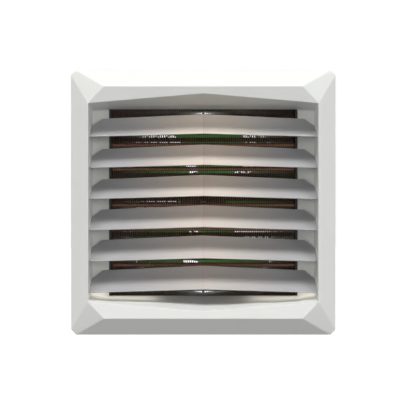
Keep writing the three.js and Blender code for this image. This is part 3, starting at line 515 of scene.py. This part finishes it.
# The thirteen rings of the cover, from the rim of the skirt over the front and down the funnel
# to its flange, and back along the inside.
def coverRings(c):
    sink = lambda z: c["bandSlope"] * (c["ridgeZ"] - z)
    foldZ = c["apexZ"] - (c["apexZ"] - c["mouthZ"]) * c["foldX"] / c["mouthX"]
    share = c["sideDepth"] / c["rearDepth"]
    apexMid = c["apexZ"] + (c["rearZ"] - c["apexZ"]) * share
    endMid = c["mouthZ"] + (c["rearZ"] - c["mouthZ"]) * share
    low = endMid - c["facetDrop"]
    rim, w, t, side = c["rearDepth"], c["funnelWall"], c["wall"], c["sideDepth"]
    deep, seat, step = sink(c["mouthZ"]), rim - c["flange"], c["cornerStep"]
    mouthX, rearX, rearZ, start = c["mouthX"], c["rearX"], c["rearZ"], c["innerFront"]
    inside = c["chamfer"] - c["innerChamfer"]
    return np.stack([
        squareRing(c["skirtHalf"], c["chamfer"], c["skirtDepth"]),
        squareRing(c["half"], c["chamfer"], c["bevelDepth"]),
        wholeRing((0, 0, c["ridgeZ"]), (c["cornerX"], 0, c["ridgeZ"]),
                  (c["ridgeX"], deep, c["cornerZ"]), (c["ridgeX"], deep, 0)),
        wholeRing((0, sink(c["apexZ"]), c["apexZ"]), (c["foldX"], sink(foldZ), foldZ),
                  (mouthX, deep, c["mouthZ"]), (mouthX, deep, 0)),
        wholeRing((0, side, apexMid), (rearX - step, side, endMid + 1),
                  (mouthX, side, low), (mouthX, side, 0)),
        wholeRing((0, rim, rearZ), (rearX - 1, rim, rearZ), (rearX, rim, rearZ - step),
                  (rearX, rim, 0)),
        squareRing(c["flangeHalf"], c["flangeChamfer"], rim),
        squareRing(c["flangeHalf"], c["flangeChamfer"], seat),
        wholeRing((0, seat, rearZ + w), (rearX - 1, seat, rearZ + w),
                  (rearX + w, seat, rearZ - step), (rearX + w, seat, 0)),
        wholeRing((0, side, apexMid + w), (rearX - step, side, endMid + 1 + w),
                  (mouthX + w, side, low + w), (mouthX + w, side, 0)),
        wholeRing((0, start - 1, c["apexZ"] + w - 1), (c["foldX"], start, foldZ + w - 1),
                  (mouthX + w, start, c["mouthZ"] + 1), (mouthX + w, start, 0)),
        squareRing(c["half"] - t, inside, c["bevelDepth"] + 1.2),
        squareRing(c["skirtHalf"] - t, inside, c["skirtDepth"]),
    ])


# Closed surface through thirteen rings of twelve points: first the corners of the wall's
# profile are rounded at each of the twelve points, then the corners of every ring.
def coverForm(c):
    profileCuts = np.array([0.6, 2.0, 1.1, 0.9, 2.0, 1.0, 0.6, 0.6, 0.5, 2.0, 1.5, 1.5, 0.6])
    ringCuts = np.array([2.0, 2.5, 2.5, 0, 2.5, 2.5, 2.0, 2.5, 2.5, 0, 2.5, 2.5])
    columns = rounded(np.swapaxes(coverRings(c), 0, 1), profileCuts, 5)
    return skin(rounded(np.swapaxes(columns, 0, 1), ringCuts, 4), True)


# Small pivot bush that stands out from the side wall round each louvre pin: a turned ring whose
# axis lies along X.
def pivotBushes(c, stations):
    foot, end = c["mouthX"] + 0.6, c["mouthX"] + c["bushEnd"]
    profile = [(c["bushBore"], foot), (c["bushFoot"], foot), (c["bushHead"], end), (c["bushBore"], end)]
    ring = rounded(profile, 0.3, 2)
    t = turns(28)[None, :]
    forms = []
    for side in (-1, 1):
        depth = louvreSizes["pivotDepth"] + ring[:, :1] * np.cos(t)
        grid = np.stack([side * ring[:, 1:] + 0 * t, depth, ring[:, :1] * np.sin(t)], -1)
        form = skin(grid, True)
        forms += [moved(form, (0, 0, z + louvreSizes["pivotRise"])) for z in stations]
    return forms


louvreSizes = {
    "count": 6, "pitch": 63, "topZ": 134, "frontDepth": 22, "rearDepth": 76, "rise": 39, "sag": 5,
    "thickness": 2.6, "lip": 1.3, "end": 229.9,
    "rearEnd": 209.8,            # the blade's rear edge ends here, and its front edge at the end
    "cutAt": 0.7,                # the end of the blade runs back this share of the way
    "frontPeak": 6.5, "rearPeak": 10.6, "pinRadius": 3.5, "pinEnd": 237, "pinRoot": 1.2,
    "pivotDepth": 47.5, "pivotRise": 11.5,
}
stations = [louvreSizes["topZ"] - k * louvreSizes["pitch"] for k in range(louvreSizes["count"])]

coverForms = [coverForm(coverSizes)] + pivotBushes(coverSizes, stations)
piece("front_cover_shell", coverForms, finishes["white"], "casing", ["front_cover"])
print("front cover made")


# ---- louvres ----

# Blade: at each place x along it a closed section runs back along the hollow upper side
# z = rise t - sag 4t(1-t), round the rear edge, forward along the under side and round the lip.
# The middle stands higher by peak(t) (1 - |x| / end), and the rear corners are cut off.
def bladeForm(s):
    run, rise = s["rearDepth"] - s["frontDepth"], s["rise"]
    chord = np.hypot(run, rise)
    down, back = np.array([rise, -run]) / chord, np.array([run, rise]) / chord
    half = s["thickness"] / 2
    along = np.linspace(0.05, 1, 26)
    edge = np.linspace(0, np.pi, 7)[1:-1]
    nose = np.linspace(0, np.pi, 11)
    # each row: chord share, offset square to the chord, offset along it
    top = np.stack([along, 0 * along, 0 * along], -1)
    rear = np.stack([0 * edge + 1, half - half * np.cos(edge), 0.7 * half * np.sin(edge)], -1)
    under = np.stack([along[::-1], 0 * along + s["thickness"], 0 * along], -1)
    lipRadius = s["lip"]
    lip = np.stack([0 * nose, lipRadius + lipRadius * np.cos(nose),
                    lipRadius - lipRadius * np.sin(nose)], -1)
    section = np.concatenate([top, rear, under, lip])
    inner = np.array([12, 40, 90, 140, 180, 200, 208, s["rearEnd"], 213, 218, 223, 227,
                      s["end"] - 0.5, s["end"]])
    places = np.concatenate([-inner[::-1], [0], inner])
    reach = np.clip((np.abs(places) - s["rearEnd"]) / (s["end"] - s["rearEnd"]), 0, 1)
    tMax = 1 - (1 - s["cutAt"]) * reach
    t = section[None, :, 0] * tMax[:, None]
    offset = np.broadcast_to(section[None, :, 1], t.shape).copy()
    offset[[0, -1]] = half + (offset[[0, -1]] - half) * 0.6
    hollow = 4 * s["sag"] * t * (1 - t) + offset
    x = places[:, None] + 0 * t
    peak = (s["frontPeak"] + (s["rearPeak"] - s["frontPeak"]) * t) * (1 - np.abs(x) / s["end"])
    d = s["frontDepth"] + run * t + down[0] * hollow + back[0] * section[None, :, 2]
    z = rise * t + down[1] * hollow + back[1] * section[None, :, 2] + peak
    return skin(np.stack([x, d, z], -1))


# Pivot pins with a chamfered tip, standing out from both ends of the blade.
def pinForms(s):
    levels = [(1, s["end"] - s["pinRoot"]), (1, s["pinEnd"] - 1), (0.7, s["pinEnd"])]
    centre = (0, s["pivotDepth"], s["pivotRise"])
    outline = disc(s["pinRadius"], 20)
    return [stack(outline, [(scale, side * x) for scale, x in levels], "x", centre) for side in (-1, 1)]


louvreForms = [bladeForm(louvreSizes)] + pinForms(louvreSizes)
for k, z in enumerate(stations, 1):
    piece(f"louvre_blade_{k}", [moved(form, (0, 0, z)) for form in louvreForms], finishes["louvre"],
          f"louvre_{k}", [f"louvre_{k}"], 50, True)
print("louvres made")


# ---- water coil ----

coilSizes = {
    "halfX": 192.5, "halfZ": 196, "front": 104, "rear": 148, "fins": 84, "finThickness": 0.26,
    "wave": 0.5, "waveLength": 11, "ripple": 0.8, "across": 9, "levels": 63,
    "rows": (115, 139), "tubeRadius": 4.8, "tubes": 15, "pitch": 25.4,
    "shiftZ": -4.95, "stagger": 12.7,
}


# Fins: each is a thin plate whose side wanders by wave cos(2 pi d / waveLength) along the depth
# and whose front and rear edges ripple by ripple cos(2 pi z / stagger) along the height.
def finForms(c):
    middle = np.linspace(0, 1, c["across"])
    around = np.concatenate([middle, middle[::-1]])
    side = np.repeat([1.0, -1.0], c["across"]) * c["finThickness"] / 2
    level = np.linspace(-c["halfZ"], c["halfZ"], c["levels"])[:, None]
    depth = c["front"] + (c["rear"] - c["front"]) * around[None, :]
    ripple = c["ripple"] * np.cos(2 * np.pi * level / c["stagger"]) * (1 - 2 * around[None, :])
    x = c["wave"] * np.cos(2 * np.pi * depth / c["waveLength"]) + side[None, :] + 0 * level
    inset = c["ripple"] * np.sign(0.5 - around)[None, :]
    form = skin(np.stack([x, depth + ripple + inset, level + 0 * x], -1))
    places = (np.arange(c["fins"]) + 0.5) / c["fins"] * 2 * c["halfX"] - c["halfX"]
    return [moved(form, (x, 0, 0)) for x in places]


def tubeHeights(c, row):
    return (np.arange(c["tubes"]) - (c["tubes"] - 1) / 2) * c["pitch"] + c["shiftZ"] + row * c["stagger"]


# Copper tubes through the fins, one bar for each place in the two rows.
def tubeForms(c):
    levels = barLevels(-c["halfX"] - 0.4, c["halfX"] + 0.4, 0.4, c["tubeRadius"])
    bar = stack(disc(c["tubeRadius"], 20), levels, "x")
    return [moved(bar, (0, d, z)) for row, d in enumerate(c["rows"]) for z in tubeHeights(c, row)]


piece("coil_fins", finForms(coilSizes), finishes["fin"], "casing", ["fin_pack"], 60)
piece("coil_tubes", tubeForms(coilSizes), finishes["copper"], "casing", ["fin_pack"])
print("coil made")


# ---- rear casing ----

casingSizes = {
    "frontHalf": 262, "frontDepth": 78.3, "midHalf": 252, "midDepth": 160, "midChamfer": 26,
    "rearHalf": 228, "rearDepth": 239, "rearChamfer": 60, "chamfer": 10,
    "wall": 3, "innerChamfer": 1.7,
    "nozzle": 204, "nozzleFront": 200, "straight": 246, "lipRadius": 222, "lipDepth": 266,
    "hanger": 188, "hangerRadius": 13, "hangerBore": 7.4, "hangerDepth": 262,
    "guardBoss": 240, "guardBossRadius": 7, "guardBossBore": 2,
    "collarZ": 185, "collarX": 225, "collarRadius": 18, "collarBore": 14, "collarDepth": 244,
}


# Corners of the casing's outline: a square with cut corners, as eight points at one depth.
def casingOutline(half, chamfer, d):
    a, b = half, half - chamfer
    around = [(b, a), (a, b), (a, -b), (b, -a), (-b, -a), (-a, -b), (-a, b), (-b, a)]
    return np.array([(x, d, z) for x, z in around], float)


# Shell: outlines with rounded corners run from the front rim over the sides to the rear face,
# which closes in on the nozzle. The nozzle is the same outline drawn on to a circle, where each
# point keeps its angle, and the wall returns inside at the wall's thickness.
def casingForm(c):
    w, less = c["wall"], c["innerChamfer"]
    outlines = np.stack([
        casingOutline(c["frontHalf"], c["chamfer"], c["frontDepth"]),
        casingOutline(c["midHalf"], c["midChamfer"], c["midDepth"]),
        casingOutline(c["rearHalf"], c["rearChamfer"], c["rearDepth"]),
        casingOutline(c["rearHalf"] - w, c["rearChamfer"] - less, c["rearDepth"] - w),
        casingOutline(c["midHalf"] - w, c["midChamfer"] - less, c["midDepth"]),
        casingOutline(c["frontHalf"] - w, c["chamfer"] - less, c["frontDepth"]),
    ])
    around = rounded(outlines, 14, 7)
    shares = np.linspace(0, 1, 5)[:-1, None]
    steps = np.roll(around, -1, 1) - around
    dense = (around[:, :, None] + steps[:, :, None] * shares).reshape(len(outlines), -1, 3)
    angle = np.arctan2(dense[2, :, 2], dense[2, :, 0])
    n, lip, straight, rear = c["nozzle"], c["lipDepth"], c["straight"], c["rearDepth"]
    outer, reach, front = n + w, c["lipRadius"], c["nozzleFront"]
    # radius and depth of each ring
    rings = [
        (outer + 9, rear), (outer, rear + 2), (outer, straight), (n + 7, lip - 7),
        (reach - 4, lip - 2.6), (reach, lip - 2), (reach, lip), (n + 9, lip - 3.5),
        (n + 3, lip - 10), (n, straight), (n, front), (outer, front), (outer, rear - w),
    ]
    nozzle = [np.stack([r * np.cos(angle), 0 * angle + d, r * np.sin(angle)], -1) for r, d in rings]
    profile = np.concatenate([dense[:3], np.stack(nozzle), dense[3:]])
    cuts = np.array([0.6, 9, 9, 2, 1.5, 4, 3, 1.5, 0.8, 0.8, 3, 4, 4, 0.8, 0.8, 1, 3, 5, 0.6])
    columns = rounded(np.swapaxes(profile, 0, 1), cuts, 4)
    return skin(np.swapaxes(columns, 0, 1), True)


# Bosses and collars stand on the shell as turned rings, and a fillet rings each hanger boss.
def casingBosses(c):
    rear, radius, forms = c["rearDepth"], c["hangerRadius"], []
    for x, z in fourPlaces(c["hanger"]):
        forms.append(turnedRing(c["hangerBore"], radius, rear - 24, c["hangerDepth"], 0.8, 36, x, z))
        fillet = [(radius - 1, rear - 3), (radius + 4, rear - 3), (radius, rear + 4),
                  (radius - 1, rear + 4)]
        forms.append(revolve(fillet, 0.6, 36, True, x, z))
    for x, z in fourPlaces(c["guardBoss"] / np.sqrt(2)):
        forms.append(turnedRing(c["guardBossBore"], c["guardBossRadius"], rear - 4, c["hangerDepth"],
                                0.5, 28, x, z))
    for z in (-c["collarZ"], c["collarZ"]):
        forms.append(turnedRing(c["collarBore"], c["collarRadius"], rear - 34, c["collarDepth"],
                                1.2, 40, c["collarX"], z))
    return forms


casingForms = [casingForm(casingSizes)] + casingBosses(casingSizes)
piece("rear_casing_shell", casingForms, finishes["grey"], "casing", ["rear_casing"], 42)
print("rear casing made")


# ---- fan ----

fanSizes = {
    "radius": 198, "blades": 5, "hub": 56, "rotor": 50, "hubFront": 214, "hubRear": 268, "bladeDepth": 236,
    "sweep": 0.42, "width": 0.5, "rootRise": 22, "tipRise": 17, "camber": 6,
    "rotorFront": 208, "rotorRear": 282, "rotorBore": 6.3, "hubRibs": 20, "faceRibs": 10,
}


# Sickle blade: at radius share s and chord place u a point lies at angle lean(s) + width u and
# depth bladeDepth + rise(s) u - camber (1 - u^2), and the two faces stand half a thickness apart.
def fanBlade(f):
    s = np.linspace(0, 1, 26)[:, None]
    u = np.linspace(-1, 1, 19)
    face = np.concatenate([u, u[::-1]])[None, :]
    side = np.repeat([1.0, -1.0], len(u))[None, :]
    root = f["hub"] - 2.5
    tip = 1 - 0.02 * (np.abs(face) ** 6) * (s > 0.9)
    r = (root + (f["radius"] - root) * s) * tip
    lean = f["sweep"] * (1.35 * s ** 2 - 0.35 * s)
    rise = f["rootRise"] + (f["tipRise"] - f["rootRise"]) * s ** 0.8
    thick = (4.4 - 2 * s) * (0.3 + 0.7 * np.sqrt(np.clip(1 - face ** 2, 0, 1)))
    angle = lean + f["width"] * face
    d = f["bladeDepth"] + rise * face - f["camber"] * (1 - face ** 2) + side * thick / 2
    return skin(np.stack([r * np.cos(angle), d, r * np.sin(angle)], -1))


def impellerForms(f):
    hub = turnedRing(f["rotor"] + 0.3, f["hub"], f["hubFront"], f["hubRear"], 1.2, 72)
    levels = [(1, f["hubFront"] + 4), (1, f["hubRear"] - 2)]
    rib = stack(plate(1.2, 1.2, 0.4), levels, "d", (f["hub"], 0, 0))
    ribs = [turned(rib, a) for a in turns(f["hubRibs"])]
    blade = fanBlade(f)
    return [hub] + ribs + [turned(blade, -a) for a in turns(f["blades"])]


# Rotor bell of the motor: a turned bell with a boss round the shaft and shallow ribs on its face.
def rotorForms(f):
    r, bore, front, rear = f["rotor"], f["rotorBore"], f["rotorFront"], f["rotorRear"]
    bell = revolve([(bore, front), (r - 6, front), (r, front + 5), (r, rear), (r - 4, rear),
                    (r - 4, front + 9), (13, front + 9), (13, front + 14), (bore, front + 14)],
                   1.2, 64, True)
    rib = stack(plate(9, 1.1, 0.4), [(1, front - 0.05), (1, front + 1)], "d", (30, 0, 0))
    return [bell] + [turned(rib, a) for a in turns(f["faceRibs"])]


piece("impeller", impellerForms(fanSizes), finishes["green"], "fan", ["fan_impeller"], 50)
piece("rotor_bell", rotorForms(fanSizes), finishes["black"], "fan", ["motor_rotor"])


# ---- guard and motor ----

guardSizes = {
    "wire": 1.4, "spokeWire": 2.2, "spokes": 8, "rings": 13, "inner": 72, "outer": 224,
    "plate": 62, "plateBore": 47, "plateDepth": 300, "plateThickness": 3,
    "dome": 32, "domeReach": 162, "domePower": 2.2,
    "boss": 240, "bossDepth": 262, "footBore": 2.4, "footRadius": 9,
}
guardPlaces = fourPlaces(guardSizes["boss"] / np.sqrt(2))


# Depth of the guard's dome at radius r: it falls forward from the plate by
# dome ((r - plate) / domeReach)^domePower.
def guardDepth(g, r):
    share = np.maximum(r - g["plate"], 0) / g["domeReach"]
    return g["plateDepth"] + 1.5 - g["dome"] * share ** g["domePower"]


# Guard: wire rings on the dome, spokes of which every second one runs on to a foot, the plate
# that carries the motor, and the feet.
def guardForms(g):
    t = turns(96)
    forms = []
    for r in np.linspace(g["inner"], g["outer"], g["rings"]):
        path = np.stack([r * np.cos(t), 0 * t + guardDepth(g, r), r * np.sin(t)], -1)
        forms.append(wire(path, (0, 1, 0), g["wire"], closed=True))
    r = np.linspace(g["plate"] - 2, g["outer"], 26)
    foot = [(g["outer"] + 5, guardDepth(g, g["outer"]) - 1.5), (g["boss"] - 6, g["bossDepth"] + 2.2)]
    short = np.stack([r, guardDepth(g, r) - 2.4, 0 * r], -1)
    long = np.concatenate([short, [(a, d, 0) for a, d in foot]])
    for k in range(g["spokes"]):
        path = long if k % 2 else short
        radius = g["spokeWire"] if k % 2 else g["wire"] * 1.2
        forms.append(turned(wire(path, (0, 0, 1), radius), k * 2 * np.pi / g["spokes"]))
    front, seat = g["plateDepth"], g["bossDepth"]
    forms.append(turnedRing(g["plateBore"], g["plate"], front, front + g["plateThickness"], 0.7, 64))
    for x, z in guardPlaces:
        forms.append(turnedRing(g["footBore"], g["footRadius"], seat + 0.3, seat + 2.8, 0.5, 28, x, z))
    return forms


piece("guard_wires", guardForms(guardSizes), finishes["wire"], "casing", ["fan_guard"])

potSizes = {
    "radius": 45, "front": 303.3, "rear": 336, "ribs": 24,
    "ribGap": 0.35,              # no rib stands within this angle of the gland, in radians
    "lid": 34, "lidRear": 343, "glandTop": -49.3, "glandHex": 9.8, "glandBody": 7.6, "glandNut": 9.2,
}


# Depth at which the gland and its pad stand.
def glandDepth(p):
    return (p["front"] + p["rear"] + 1) / 2


# Cooling pot: a turned body with cast ribs round it and a pad for the gland.
def potForms(p):
    radius, front, rear = p["radius"], p["front"], p["rear"]
    body = revolve([(1, front), (radius, front), (radius, rear - 5), (radius - 5, rear), (1, rear)],
                   1.5, 64)
    levels = barLevels(front + 0.2, rear - 6, 1.2, 3)
    rib = stack(plate(2.6, 0.9, 0.6), levels, "d", (radius + 0.4, 0, 0))
    angles = turns(p["ribs"]) + np.pi / p["ribs"]
    ribs = [turned(rib, a) for a in angles if abs(a - 1.5 * np.pi) > p["ribGap"]]
    levels = barLevels(-radius - 4, -radius + 8, 0.8, 11)
    pad = stack(plate(11, 13.5, 3), levels, "z", (0, glandDepth(p), 0))
    return [body, pad] + ribs


# Terminal cover: a flat turned lid with a low raised rim on it.
def lidForms(p):
    front, rear = p["rear"] + 0.3, p["lidRear"]
    lid = revolve([(1, front), (p["lid"], front), (p["lid"], rear), (1, rear)], 1.6, 64)
    rim = [(24, rear - 0.5), (30, rear - 0.5), (29.5, rear + 0.6), (24.5, rear + 0.6)]
    return [lid, revolve(rim, 0.3, 64, True)]


# Gland: a hexagon, a round body and a domed nut with ten grip flats, all along Z.
def glandForms(p):
    top, centre = p["glandTop"], (0, glandDepth(p), 0)
    hexagon = stack(disc(p["glandHex"], 6, 1), barLevels(top, top - 5, 0.6, p["glandHex"]), "z", centre)
    body = stack(disc(p["glandBody"]), barLevels(top - 4, top - 12, 0.3, p["glandBody"]), "z", centre)
    levels = [(0.94, top - 11), (1, top - 11.8), (1, top - 17), (0.9, top - 19.2), (0.6, top - 20)]
    return [hexagon, body, stack(disc(p["glandNut"], 10, 0.8), levels, "z", centre)]


piece("electronics_pot", potForms(potSizes), finishes["cast"], "casing", ["electronics_housing"])
piece("terminal_lid", lidForms(potSizes), finishes["black"], "casing", ["terminal_cover"])
piece("gland", glandForms(potSizes), finishes["black"], "casing", ["cable_gland"])
print("fan, guard and motor made")


# ---- screws, inserts and connections ----

# Pan-head screw along the depth with its seat at depth 0, the head behind it and a hexagon
# socket, whose radius at angle t is flat / cos(t wrapped to within 30 degrees).
def screwForm(shank, head, length, height):
    t = turns(36)
    hexagon = 1 / np.cos((t + np.pi / 6) % (np.pi / 3) - np.pi / 6)
    socket = 0.42 * head * hexagon
    rows = [(0.3 * shank, -length), (shank, -length + shank), (shank, 0), (head * 0.98, 0),
            (head, 0.25 * height), (0.93 * head, 0.7 * height), (0.72 * head, height)]
    r = np.array([radius + 0 * t for radius, _ in rows] + [socket * 1.08, socket, socket, 0.2 * socket])
    d = [depth for _, depth in rows] + [height, 0.94 * height, 0.35 * height, 0.3 * height]
    return skin(np.stack([r * np.cos(t), np.array(d)[:, None] + 0 * t, r * np.sin(t)], -1))


# Each kind of screw: its places, the depth of its seat, and shank, head, length and height.
screwKinds = {
    "guard_screw": (guardPlaces, 265.1, (1.7, 4, 16, 2.4)),
    "motor_screw": (fourPlaces(54 / np.sqrt(2)), 303.3, (1.8, 3.6, 12, 2.6)),
    "terminal_screw": ([(-25, 0), (25, 0)], 343, (1.4, 3.2, 13, 2)),
    "casing_screw": (fourPlaces(236), 92.3, (1.9, 4.5, 34, 3)),
}
# Profiles of the brass insert and of the rubber ring in the pipe collar: radius and depth.
insertProfile = [(3.4, 240), (7, 240), (7, 262), (4.4, 262), (3.4, 261)]
sealProfile = [(9.8, 232), (13.5, 232), (13.5, 244.3), (17, 244.3), (16.4, 246.7), (9.8, 246.7)]


# Nearest CAD node of a family to a place, so that each piece stands for the right one.
def nodeNear(family, x, z):
    def farness(name):
        low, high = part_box(name)
        centre = (low + high) / 2 / mm
        return (centre.x - x) ** 2 + (centre.z - z) ** 2
    return min((name for name in nodes if name.startswith(family)), key=farness)


for family, (places, seat, sizes) in screwKinds.items():
    form = screwForm(*sizes)
    for x, z in places:
        node = nodeNear(family, x, z)
        piece(node.replace("screw", "bolt"), [moved(form, (x, seat, z))], finishes["steel"],
              "casing", [node])

for x, z in fourPlaces(casingSizes["hanger"]):
    node = nodeNear("suspension_insert", x, z)
    bush = revolve(insertProfile, 0.4, 36, True, x, z)
    piece(node.replace("suspension", "brass"), [bush], finishes["brass"], "casing", [node])

pipeSizes = {
    "x": 225, "z": 185, "neck": 9.5, "start": 247, "end": 283, "thread": 13.2, "across": 34,
    "pitch": 2.3, "threadDepth": 1.1, "hexStart": 6, "hexEnd": 16, "sleeveEnd": 8.4,
}


# Connection: a sleeve, a hexagon and a male pipe thread, whose radius goes in and out once
# per pitch.
def connectionForms(p, z):
    start, end, neck, thread = p["start"], p["end"], p["neck"], p["thread"]
    foot, hexEnd, sleeveEnd = start + p["sleeveEnd"] - 0.2, start + p["hexEnd"], start + p["sleeveEnd"]
    d = np.arange(hexEnd, end - 1.5, p["pitch"] / 2)
    crests = thread - p["threadDepth"] * (np.arange(len(d)) % 2)
    profile = [(neck - 0.5, foot), (neck - 0.5, end), (thread - 1.6, end)]
    profile += list(zip(crests[::-1], d[::-1])) + [(thread - 1, hexEnd), (thread - 1, foot)]
    sleeve = turnedRing(neck + 0.3, thread - 1, start, sleeveEnd, 0.5, 40, p["x"], z)
    levels = barLevels(start + p["hexStart"], hexEnd, 1, p["across"] / 2)
    hexagon = stack(disc(p["across"] / np.sqrt(3), 6, 1.2), levels, "d", (p["x"], 0, z))
    return [revolve(profile, 0.2, 40, True, p["x"], z, 2), sleeve, hexagon]


for end, name in ((-1, "supply"), (1, "return")):
    z = end * pipeSizes["z"]
    piece(name + "_nipple", connectionForms(pipeSizes, z), finishes["brass"], "casing",
          [name + "_connection"])
    ring = revolve(sealProfile, 0.7, 40, True, pipeSizes["x"], z)
    piece(name + "_seal_ring", [ring], finishes["rubber"], "casing", [name + "_grommet"])
print("screws and connections made")


# ---- finishes of the CAD nodes that show as they are: steel, unless they are listed ----

nodeFinishes = {
    "coil_seal": "foam", "coil_left_plate": "dark", "coil_right_plate": "dark",
    "coil_top_channel": "dark", "coil_bottom_channel": "dark", "supply_header": "copper",
    "return_header": "copper", "air_vent": "brass", "drain_plug": "brass", "motor_stator": "cast",
}
for name, node in nodes.items():
    node.data.materials.clear()
    node.data.materials.append(finishes[nodeFinishes.get(name, "steel")])


# ---- floor, light and camera ----

# Places in metres, and how bright the floor and the surroundings are.
stageSizes = {
    "floorZ": -2.1, "floorHalf": 40.0, "floorTone": 0.24, "floorLift": 0.92,
    "ambientFront": 0.06, "ambientBack": 0.45,
}
# Each light: strength, softness in degrees, elevation, and azimuth to the right of the front.
lights = {
    "keyLeft": (1.35, 26.0, 58.0, -30.0), "keyRight": (1.5, 26.0, 58.0, 30.0),
    "fillLeft": (1.35, 40.0, -5.0, -38.0), "fillRight": (1.5, 40.0, -5.0, 38.0),
}


# 1 for a ray that the viewer sees the background by: straight, in a gloss or through glass.
def seenRay(tree):
    path = addNode(tree, "LightPath")
    first = addMath(tree, "MAXIMUM", path.outputs["Is Camera Ray"], path.outputs["Is Glossy Ray"])
    return addMath(tree, "MAXIMUM", first, path.outputs["Is Transmission Ray"])


def makeFloor(s):
    half, low = s["floorHalf"], s["floorZ"]
    mesh = bpy.data.meshes.new("floor")
    corners = [(-half, -half, low), (half, -half, low), (half, half, low), (-half, half, low)]
    mesh.from_pydata(corners, [], [(0, 1, 2, 3)])
    material, tree, shader = newMaterial("paleFloor")
    tones = [(tone, tone, tone, 1) for tone in (s["floorTone"], s["floorTone"] - 0.02)]
    tone = addMix(tree, noiseOf(tree, objectPlace(tree), 0.6, 3.0, 0.5), *tones)
    tree.links.new(tone, shader.inputs["Base Color"])
    shader.inputs["Roughness"].default_value = 0.9
    shader.inputs["Specular IOR Level"].default_value = 0.0
    shader.inputs["Emission Color"].default_value = (1, 1, 1, 1)
    lift = addMath(tree, "MULTIPLY", seenRay(tree), s["floorLift"])
    tree.links.new(lift, shader.inputs["Emission Strength"])
    mesh.materials.append(material)
    floor = addObject("floor", mesh)


# White where it is seen. Where it lights the object it is dim in front and brighter behind.
def makeWorld(s):
    world = bpy.data.worlds.new("studio")
    world.use_nodes = True
    tree = world.node_tree
    back = tree.nodes["Background"]
    back.inputs["Color"].default_value = (1, 1, 1, 1)
    direction = addNode(tree, "TexCoord").outputs["Generated"]
    away = addNode(tree, "SeparateXYZ", None, Vector=direction).outputs["Y"]
    behind = addFade(tree, away, -0.3, 0.7, s["ambientFront"], s["ambientBack"], "SMOOTHSTEP")
    tree.links.new(addMath(tree, "MAXIMUM", seenRay(tree), behind), back.inputs["Strength"])
    bpy.context.scene.world = world


def makeLight(name, strength, softness, elevation, azimuth):
    lamp = bpy.data.lights.new(name, "SUN")
    lamp.energy, lamp.angle = strength, np.radians(softness)
    addObject(name, lamp).rotation_euler = (np.radians(90 - elevation), 0, np.radians(azimuth))


# Weak lights inside: (place as x, depth, z; width and height; watts; turn about X; colour). Two
# lie under the lowest louvre, and one in front of the fan, for the light that comes back there.
glows = {
    "glowLeft": ((-165, 72, -173), (0.13, 0.026), 0.02, 0, (1.0, 0.93, 0.84)),
    "glowRight": ((165, 72, -173), (0.13, 0.026), 0.02, 0, (1.0, 0.93, 0.84)),
    "fanGlow": ((0, 156, 0), (0.38, 0.38), 0.3, 90, (1.0, 1.0, 1.0)),
}


def makeGlow(name, place, size, power, turn, color):
    lamp = bpy.data.lights.new(name, "AREA")
    lamp.shape, lamp.size, lamp.size_y = "RECTANGLE", *size
    lamp.energy, lamp.color = power, color
    holder = addObject(name, lamp)
    holder.location = np.array([place[0], frontPlane + place[1], place[2]]) * mm
    holder.rotation_euler = (np.radians(turn), 0, 0)
    holder.visible_camera = holder.visible_glossy = False


cameraSizes = {"distance": 1.8, "lens": 80.2, "shiftX": -0.002}


def makeCamera(c):
    data = bpy.data.cameras.new("camera")
    data.lens, data.sensor_width, data.shift_x = c["lens"], 36, c["shiftX"]
    camera = addObject("camera", data)
    camera.location = (0, frontPlane * mm - c["distance"], 0)
    camera.rotation_euler = (np.pi / 2, 0, 0)
    bpy.context.scene.camera = camera


makeFloor(stageSizes)
makeWorld(stageSizes)
for name, light in lights.items():
    makeLight(name, *light)
for name, glow in glows.items():
    makeGlow(name, *glow)
makeCamera(cameraSizes)
bpy.context.scene.view_settings.view_transform = "Standard"
print("scene ready")
